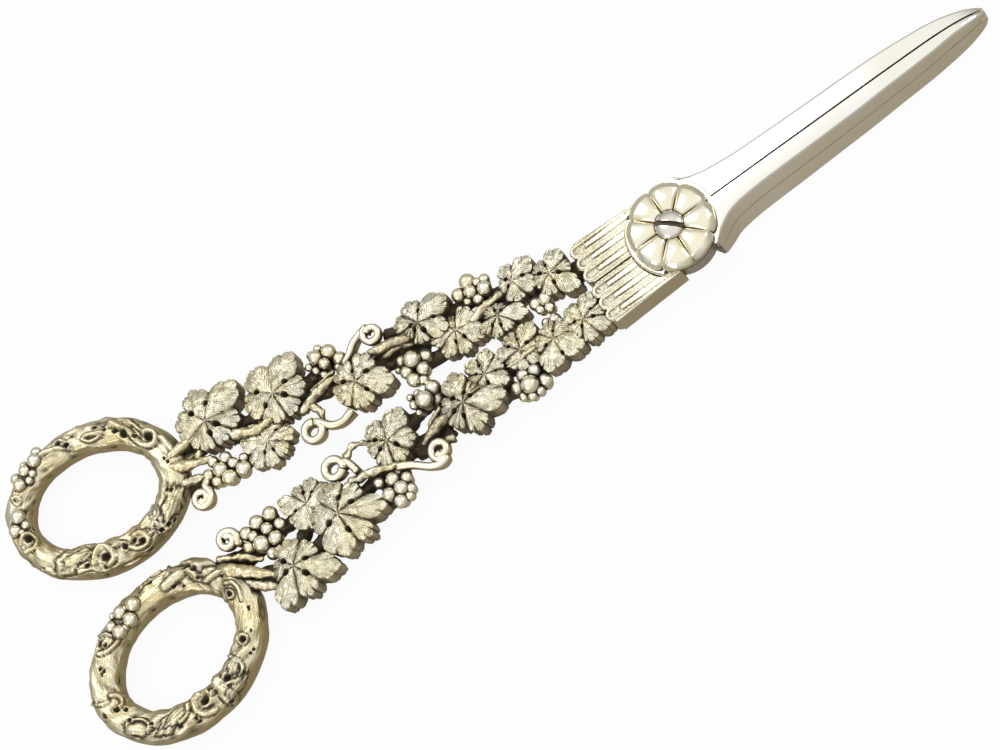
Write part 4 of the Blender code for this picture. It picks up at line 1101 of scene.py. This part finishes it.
def box(size, place, turn=0.0):
    piece = newShape(bpy.ops.mesh.primitive_cube_add, size=1.0, location=[value * mm for value in place],
                     rotation=(0, 0, turn))
    piece.scale = [value * mm for value in size]
    settle()
    return piece


def cutBy(piece, steps, **bevel):
    # joins or cuts each (shape, operation) and softens the edges
    for other, operation in steps:
        addStep(piece, "BOOLEAN", operation=operation, object=other, solver="EXACT")
    addStep(piece, "BEVEL", limit_method="ANGLE", **bevel)
    applyAll(piece)
    for other, operation in steps:
        bpy.data.objects.remove(other)


def buildScrew():
    look = screwLook
    turn = math.radians(look["slotTurn"])
    head = newShape(bpy.ops.mesh.primitive_uv_sphere_add, segments=64, ring_count=40, radius=look["head"] * mm,
                    location=(0, 0, 0))
    head.name = "screwHead"
    inEdit(head,
           lambda: bpy.ops.mesh.bisect(plane_co=(0, 0, 0), plane_no=(0, 0, 1), clear_inner=True, use_fill=True),
           lambda: bpy.ops.transform.resize(value=(1.0, 1.0, look["flat"]), center_override=(0.0, 0.0, 0.0)),
           lambda: bpy.ops.transform.translate(value=(0.0, 0.0, look["seat"] * mm)))
    shaft = cylinder(look["shaft"], 7.7, 48, 3.85)
    slot = box(look["slot"], (0, 0, look["slotHeight"]), turn)
    cutBy(head, [(shaft, "UNION"), (slot, "DIFFERENCE")], width=0.05 * mm, segments=2, angle_limit=math.radians(40))
    points = readPoints(head) / mm
    across = points[:, 0] * math.sin(turn) - points[:, 1] * math.cos(turn)
    deep = (np.abs(across) < look["slot"][1] / 2 + 0.005) & (points[:, 2] < 8.55) & (points[:, 2] > 7.7)
    # painted shade in the slot
    setValues(head, "oxideAndShade", np.where(deep, 1.0, 0.0))
    smooth(head, 35)
    dress(head, "screw", "under", "bright_silver", "pivot_screw")
    nut = cylinder(look["nut"], look["nutHeight"], 64, look["nutHeight"] / 2)
    nut.name = "screwNut"
    settle()
    cutters = [cylinder(look["bore"], 4, 48)]
    cutters += [box(look["notch"], (sign * look["notchPlace"], 0, 0)) for sign in (-1, 1)]
    cutBy(nut, [(other, "DIFFERENCE") for other in cutters], width=0.12 * mm, segments=3)
    smooth(nut, 35)
    dress(nut, "screw", "under", "bright_silver", "pivot_nut")


buildRosette()
buildScrew()
print("rosette, screw and nut done")

# blades

bladeLook = {"height": 6.2, "line": 0.5, "lap": 7.85, "rim": 0.3, "rimDrop": 0.4, "lapHeight": 3.1, "joint": 0.04,
             "lapFaces": {"over": (3.25, 6.2), "under": (0.0, 2.95)}, "gap": 0.15, "soften": 0.12, "sharp": 34,
             "edge": 0.6, "notch": 6.2, "hole": 1.8, "seat": 3.3, "notchFrom": {1: 66, -1: 56.5}, "notchTo": 133,
             "steps": 90}
# reach along the blade, half widths of the right top, right base, left top and left base, and height as a share
bladeRows = (
    (4.6, 6.95, 7.1, 6.6, 6.9, 1.0), (5.03, 6.55, 6.95, 6.1, 6.45, 1.0), (5.74, 5.95, 6.7, 5.55, 5.95, 1.0),
    (7.0, 4.95, 6.2, 5.0, 5.45, 1.0), (8.0, 4.35, 5.7, 4.7, 5.15, 1.0), (9.0, 3.85, 5.45, 4.45, 4.95, 1.0),
    (10.5, 3.45, 5.2, 4.25, 4.75, 1.0), (12.5, 3.2, 5.0, 4.0, 4.6, 1.0), (15.4, 3.0, 4.85, 3.8, 4.5, 1.0),
    (20.0, 2.88, 4.72, 3.65, 4.4, 1.0), (28.0, 2.75, 4.42, 3.5, 4.25, 1.0), (36.0, 2.55, 4.12, 3.4, 4.05, 1.0),
    (40.0, 2.35, 3.87, 3.3, 3.9, 1.0), (44.0, 2.2, 3.67, 3.1, 3.7, 0.99), (47.0, 2.05, 3.5, 2.85, 3.4, 0.98),
    (50.0, 1.85, 3.22, 2.6, 3.1, 0.955), (52.0, 1.6, 3.0, 2.35, 2.85, 0.92), (54.0, 1.35, 2.7, 2.0, 2.45, 0.86),
    (55.5, 1.2, 2.38, 1.72, 2.12, 0.79), (57.0, 0.98, 1.95, 1.35, 1.68, 0.69),
    (58.2, 0.76, 1.48, 0.95, 1.2, 0.58), (58.9, 0.54, 1.02, 0.62, 0.82, 0.5),
    (59.3, 0.3, 0.55, 0.34, 0.48, 0.45)
)


def bladeSize(reach):
    # the row at this reach, on a smooth curve through the rows above
    sizes = np.array(bladeRows)
    t = sizes[:, 0]
    k = np.clip(np.searchsorted(t, reach) - 1, 0, len(t) - 2)
    h = t[k + 1] - t[k]
    p = (reach - t[k]) / h
    v, slope = sizes[:, 1:], np.gradient(sizes[:, 1:], t, axis=0)
    return (v[k] * (1 + 2 * p) * (1 - p) ** 2 + slope[k] * h * p * (1 - p) ** 2
            + v[k + 1] * p * p * (3 - 2 * p) + slope[k + 1] * h * p * p * (p - 1))


def outerEdge(top, base, height):
    # half widths and heights down the rounded outer edge, from the flat top to the wall
    cut = min(bladeLook["edge"], top * 0.45)
    wall = 0.80 * cut
    return ((top - 0.70 * cut, height), (top - 0.28 * cut, height - 0.17 * cut),
            (top - 0.05 * cut, height - 0.42 * cut), (top + (base - top) * wall / height, height - wall))


def bladeCorners(half, reach):
    # the section at this reach; the under blade is an L with a ledge below the over blade
    look = bladeLook
    line = look["line"]
    top, base, leftTop, leftBase, share = bladeSize(reach)
    height = share * look["height"]
    if half == "over":
        low = min(look["lapHeight"] + look["joint"], height * 0.55)
        inner = line - look["gap"]
        edge = [(line - wide, z) for wide, z in reversed(outerEdge(top, base, height))]
        return (inner, low), (line - base - (top - base) * low / height, low), *edge, (inner, height)
    ledge = min(look["lapHeight"] - look["joint"], height * 0.53)
    inner = line + look["gap"]
    edge = [(line + wide, z) for wide, z in reversed(outerEdge(leftTop, leftBase, height))]
    return ((inner, height), (inner, ledge), (line - base - (top - base) * ledge / height, ledge), (line - base, 0.0),
            (line + leftBase, 0.0), *edge)


def notchCutter(side):
    # a ring sector beside the lap plates, spun between the shank and the shoulder
    start, stop = math.radians(bladeLook["notchFrom"][side]), math.radians(bladeLook["notchTo"])
    piece = newShape(bpy.ops.mesh.primitive_plane_add, size=1.0)
    inEdit(piece, lambda: bpy.ops.transform.resize(value=(4.0 * mm, 20.0 * mm, 1.0)))
    points = readPoints(piece) / mm
    away = points[:, 0] + 2.0 + bladeLook["notch"]
    writePoints(piece, rows(away * math.cos(side * start), away * math.sin(side * start), points[:, 1]) * mm)
    inEdit(piece, lambda: bpy.ops.mesh.spin(steps=24, angle=-side * (stop - start), center=(0, 0, 0), axis=(0, 0, 1)))
    faceOut(piece)
    return piece


def buildBlade(half):
    # the section runs along the blade in many short steps, and the lap plate is joined to it
    look = bladeLook
    lapLow, lapHigh = look["lapFaces"][half]
    count = len(bladeCorners(half, 20.0))
    piece, angle, level = drum(half + "BladeSteel", count, look["steps"], closed=False)
    index = np.round(np.mod(angle, fullTurn) / (fullTurn / count)).astype(int) % count
    first, last = bladeRows[0][0], bladeRows[-1][0]
    reaches = first + (last - first) * np.arange(look["steps"] + 1) / look["steps"]
    sections = np.array([[(reach, *corner) for corner in bladeCorners(half, reach)] for reach in reaches])
    writePoints(piece, sections[level, index] * mm)
    inEdit(piece, lambda: bpy.ops.mesh.fill_holes(sides=0))
    faceOut(piece)
    disc, turn, step = drum("lapPlate", 144, 2)
    slope = 1 - ease(np.cos(turn), 0.15, 0.40) if half == "over" else np.zeros(len(turn))
    radius = np.select([step == -1, step <= 1, step == 2],
                       [0.0, look["lap"], look["lap"] - 0.02 - look["rim"] * slope], 0.0)
    height = np.select([step <= 0, step == 1], [lapLow, lapHigh - 0.02 - look["rimDrop"] * slope], lapHigh)
    writePoints(disc, rows(radius * np.cos(turn), radius * np.sin(turn), height) * mm)
    faceOut(disc)
    steps = [(disc, "UNION"), (cylinder(look["hole"], 20, 48), "DIFFERENCE")]
    if half == "under":
        steps.insert(0, (cylinder(look["lap"] + 0.12, 6, 144, lapHigh + 3.0), "DIFFERENCE"))
        steps.append((cylinder(look["seat"], 4, 96, -0.3), "DIFFERENCE"))
    steps += [(notchCutter(side), "DIFFERENCE") for side in (1, -1)]
    cutBy(piece, steps, width=look["soften"] * mm, segments=2, angle_limit=math.radians(look["sharp"]))
    smooth(piece, look["sharp"])
    addStep(piece, "WEIGHTED_NORMAL", keep_sharp=True)
    applyAll(piece)
    # painted shade on the notch walls and the shoulders' ends
    points = readPoints(piece) / mm
    back = readPoints(piece, "normal")[:, 0] < -0.45
    away = np.hypot(points[:, 0], points[:, 1]) - look["notch"]
    angle = np.abs(np.degrees(np.arctan2(points[:, 1], points[:, 0])))
    inNotch = (away < 0.25) & (away > -0.1) & (angle > 50) & (angle < 135)
    shoulder = back & (points[:, 0] > 2.5) & (away > 0.05) & (angle < 70)
    setValues(piece, "oxideAndShade", np.where(shoulder, 1.1, np.where(inNotch, 0.62, 0.0)))
    piece["shade"] = 0.0
    dress(piece, "blade", half, "polished_gilt", half + "_blade")


buildBlade("over")
buildBlade("under")
print("blades done")

# hollows: painted shade with oxide, kept on the points

hollowLook = {"reach": 2.6, "rays": 14, "open": 0.10, "gain": 1.75, "oxideAndShade": 0.75}
# the vines are darker half way along, and the lower half darker than the upper
extraDarkLook = {"middle": 0.26, "centre": -47.0, "spread": 17.0, "under": 0.09, "ring": 0.07, "tendril": 0.45}


def extraDarkOf(piece, along):
    look = extraDarkLook
    if "Vine" not in piece.name and "Ring" not in piece.name:
        return 0.0
    level = look["ring"] if "Ring" in piece.name else look["middle"] * bell(along - look["centre"], look["spread"])
    level = level + (look["under"] if "under" in piece.name else 0.0)
    return level * (look["tendril"] if "endril" in piece.name else 1.0)


def markHollowShade(pieces):
    # how shut in each point is by its own half: short rays go out from it, and the near hits count; this darkens the
    # hollows as painted shade with oxide
    look = hollowLook
    corners, faces, start = [], [], 0
    for piece in pieces:
        corners.append(readPoints(piece))
        faces += [[start + i for i in face.vertices] for face in piece.data.polygons]
        start += len(corners[-1])
    tree = BVHTree.FromPolygons(np.concatenate(corners).tolist(), faces)
    reach = look["reach"] * mm
    for piece, points in zip(pieces, corners):
        normals = readPoints(piece, "normal")
        side = np.where(np.abs(normals[:, [2]]) < 0.9, [[0.0, 0.0, 1.0]], [[1.0, 0.0, 0.0]])
        a = np.cross(normals, side)
        a /= np.maximum(np.linalg.norm(a, axis=1, keepdims=True), 1e-9)
        b = np.cross(normals, a)
        starts = (points + normals * 0.00003).tolist()
        shut = np.zeros(len(points))
        for k in range(look["rays"]):
            up = math.sqrt(1 - (k + 0.5) / look["rays"])
            turn, out = k * 2.39996, math.sqrt(1 - up * up)
            ways = a * (out * math.cos(turn)) + b * (out * math.sin(turn)) + normals * up
            hits = [tree.ray_cast(place, way, reach)[3] for place, way in zip(starts, ways.tolist())]
            shut += np.array([0.0 if hit is None else 1 - hit / reach for hit in hits])
        depth = look["gain"] * piece.get("shade", 1.0)
        recess = (shut / look["rays"] - look["open"]) * depth + extraDarkOf(piece, points[:, 0] / mm)
        setValues(piece, "recess", np.clip(np.clip(recess, 0, 1) + getValues(piece, "oxideAndShade") * look["oxideAndShade"], 0, 1.4))


for half in ("over", "under"):
    markHollowShade(halves[half])
for name in ("screwHead", "screwNut"):
    piece = bpy.data.objects[name]
    setValues(piece, "recess", getValues(piece, "oxideAndShade"))
print("hollows marked")

# floor, light and camera

lightLook = {"zenith": 1.0, "horizon": 0.4, "floorTone": 0.8, "floorGlow": 0.93, "floorSeen": (0.5, 0.47, 0.42)}
white = (1.0, 1.0, 1.0)


def lightPath(make, *kinds):
    path = make.tree.nodes.new("ShaderNodeLightPath")
    return [Wire(make, path.outputs[kind]) for kind in kinds]


# the floor is white to the camera but keeps the object's shadow
make = Recipe("paleFloor")
cameraRay, glossyRay, glassRay = lightPath(make, "Is Camera Ray", "Is Glossy Ray", "Is Transmission Ray")
make.put(make.shader.inputs["Base Color"], (lightLook["floorTone"],) * 3 + (1.0,))
make.put(make.shader.inputs["Roughness"], 0.9)
glow = make.add("ShaderNodeEmission", None, {"Color": make.mixTone(glossyRay, white, lightLook["floorSeen"])})
seen = make.clip(cameraRay + glossyRay + glassRay) * lightLook["floorGlow"]
blend = make.add("ShaderNodeMixShader", None, {0: seen, 1: Wire(make, make.shader.outputs[0]), 2: glow})
make.put(make.tree.nodes["Material Output"].inputs[0], blend)
floor = newShape(bpy.ops.mesh.primitive_plane_add, size=6.0, location=(0, 0, -0.0001))
floor.name = "paleFloor"
floor.data.materials.append(make.material)
floor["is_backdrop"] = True

world = bpy.data.worlds.new("studio")
bpy.context.scene.world = world
world.use_nodes = True
sky = Recipe("studioSky")
bpy.data.materials.remove(sky.material)
sky.tree = world.node_tree
back = sky.tree.nodes["Background"]
height = sky.add("ShaderNodeSeparateXYZ", None, {0: sky.add("ShaderNodeTexCoord")}, 2)
level = sky.add("ShaderNodeMapRange", {"interpolation_type": "SMOOTHSTEP"},
                {"Value": height, "From Min": 0.05, "From Max": 0.95, "To Min": lightLook["horizon"],
                 "To Max": lightLook["zenith"]})
back.inputs["Color"].default_value = (*white, 1.0)
isCamera, = lightPath(sky, "Is Camera Ray")
sky.put(back.inputs["Strength"], isCamera + (1 - isCamera) * level)

# place, size and power of each lamp; all face the shears
lamps = {
    "keyBox": ((-0.25, 0.45, 0.75), 0.45, 1.8),
    "sideBox": ((0.60, 0.05, 0.45), 0.30, 0.7),
    "lowBox": ((-0.55, -0.35, 0.40), 0.30, 0.6),
}
for name, (place, size, power) in lamps.items():
    bpy.ops.object.light_add(type="AREA", location=place)
    lamp = bpy.context.object
    lamp.name = name
    lamp.data.size = size
    lamp.data.energy = power
    lamp.rotation_euler = (Vector((-0.03, 0.0, 0.0)) - Vector(place)).to_track_quat("-Z", "Y").to_euler()

cameraLook = {"lens": 120.0, "place": (0.02903, -0.19733, 0.49435), "right": (0.80553, -0.50616, -0.30812),
              "up": (0.57979, 0.78062, 0.23342), "back": (0.12237, -0.36667, 0.92226)}
bpy.ops.object.camera_add()
camera = bpy.context.object
camera.data.lens = cameraLook["lens"]
camera.data.sensor_width = 36.0
camera.data.clip_start = 0.01
axes = Matrix((cameraLook["right"], cameraLook["up"], cameraLook["back"])).transposed()
camera.matrix_world = Matrix.Translation(cameraLook["place"]) @ axes.to_4x4()
bpy.context.scene.camera = camera
bpy.context.scene.view_settings.view_transform = "Standard"

low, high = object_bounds()
print("size kept")
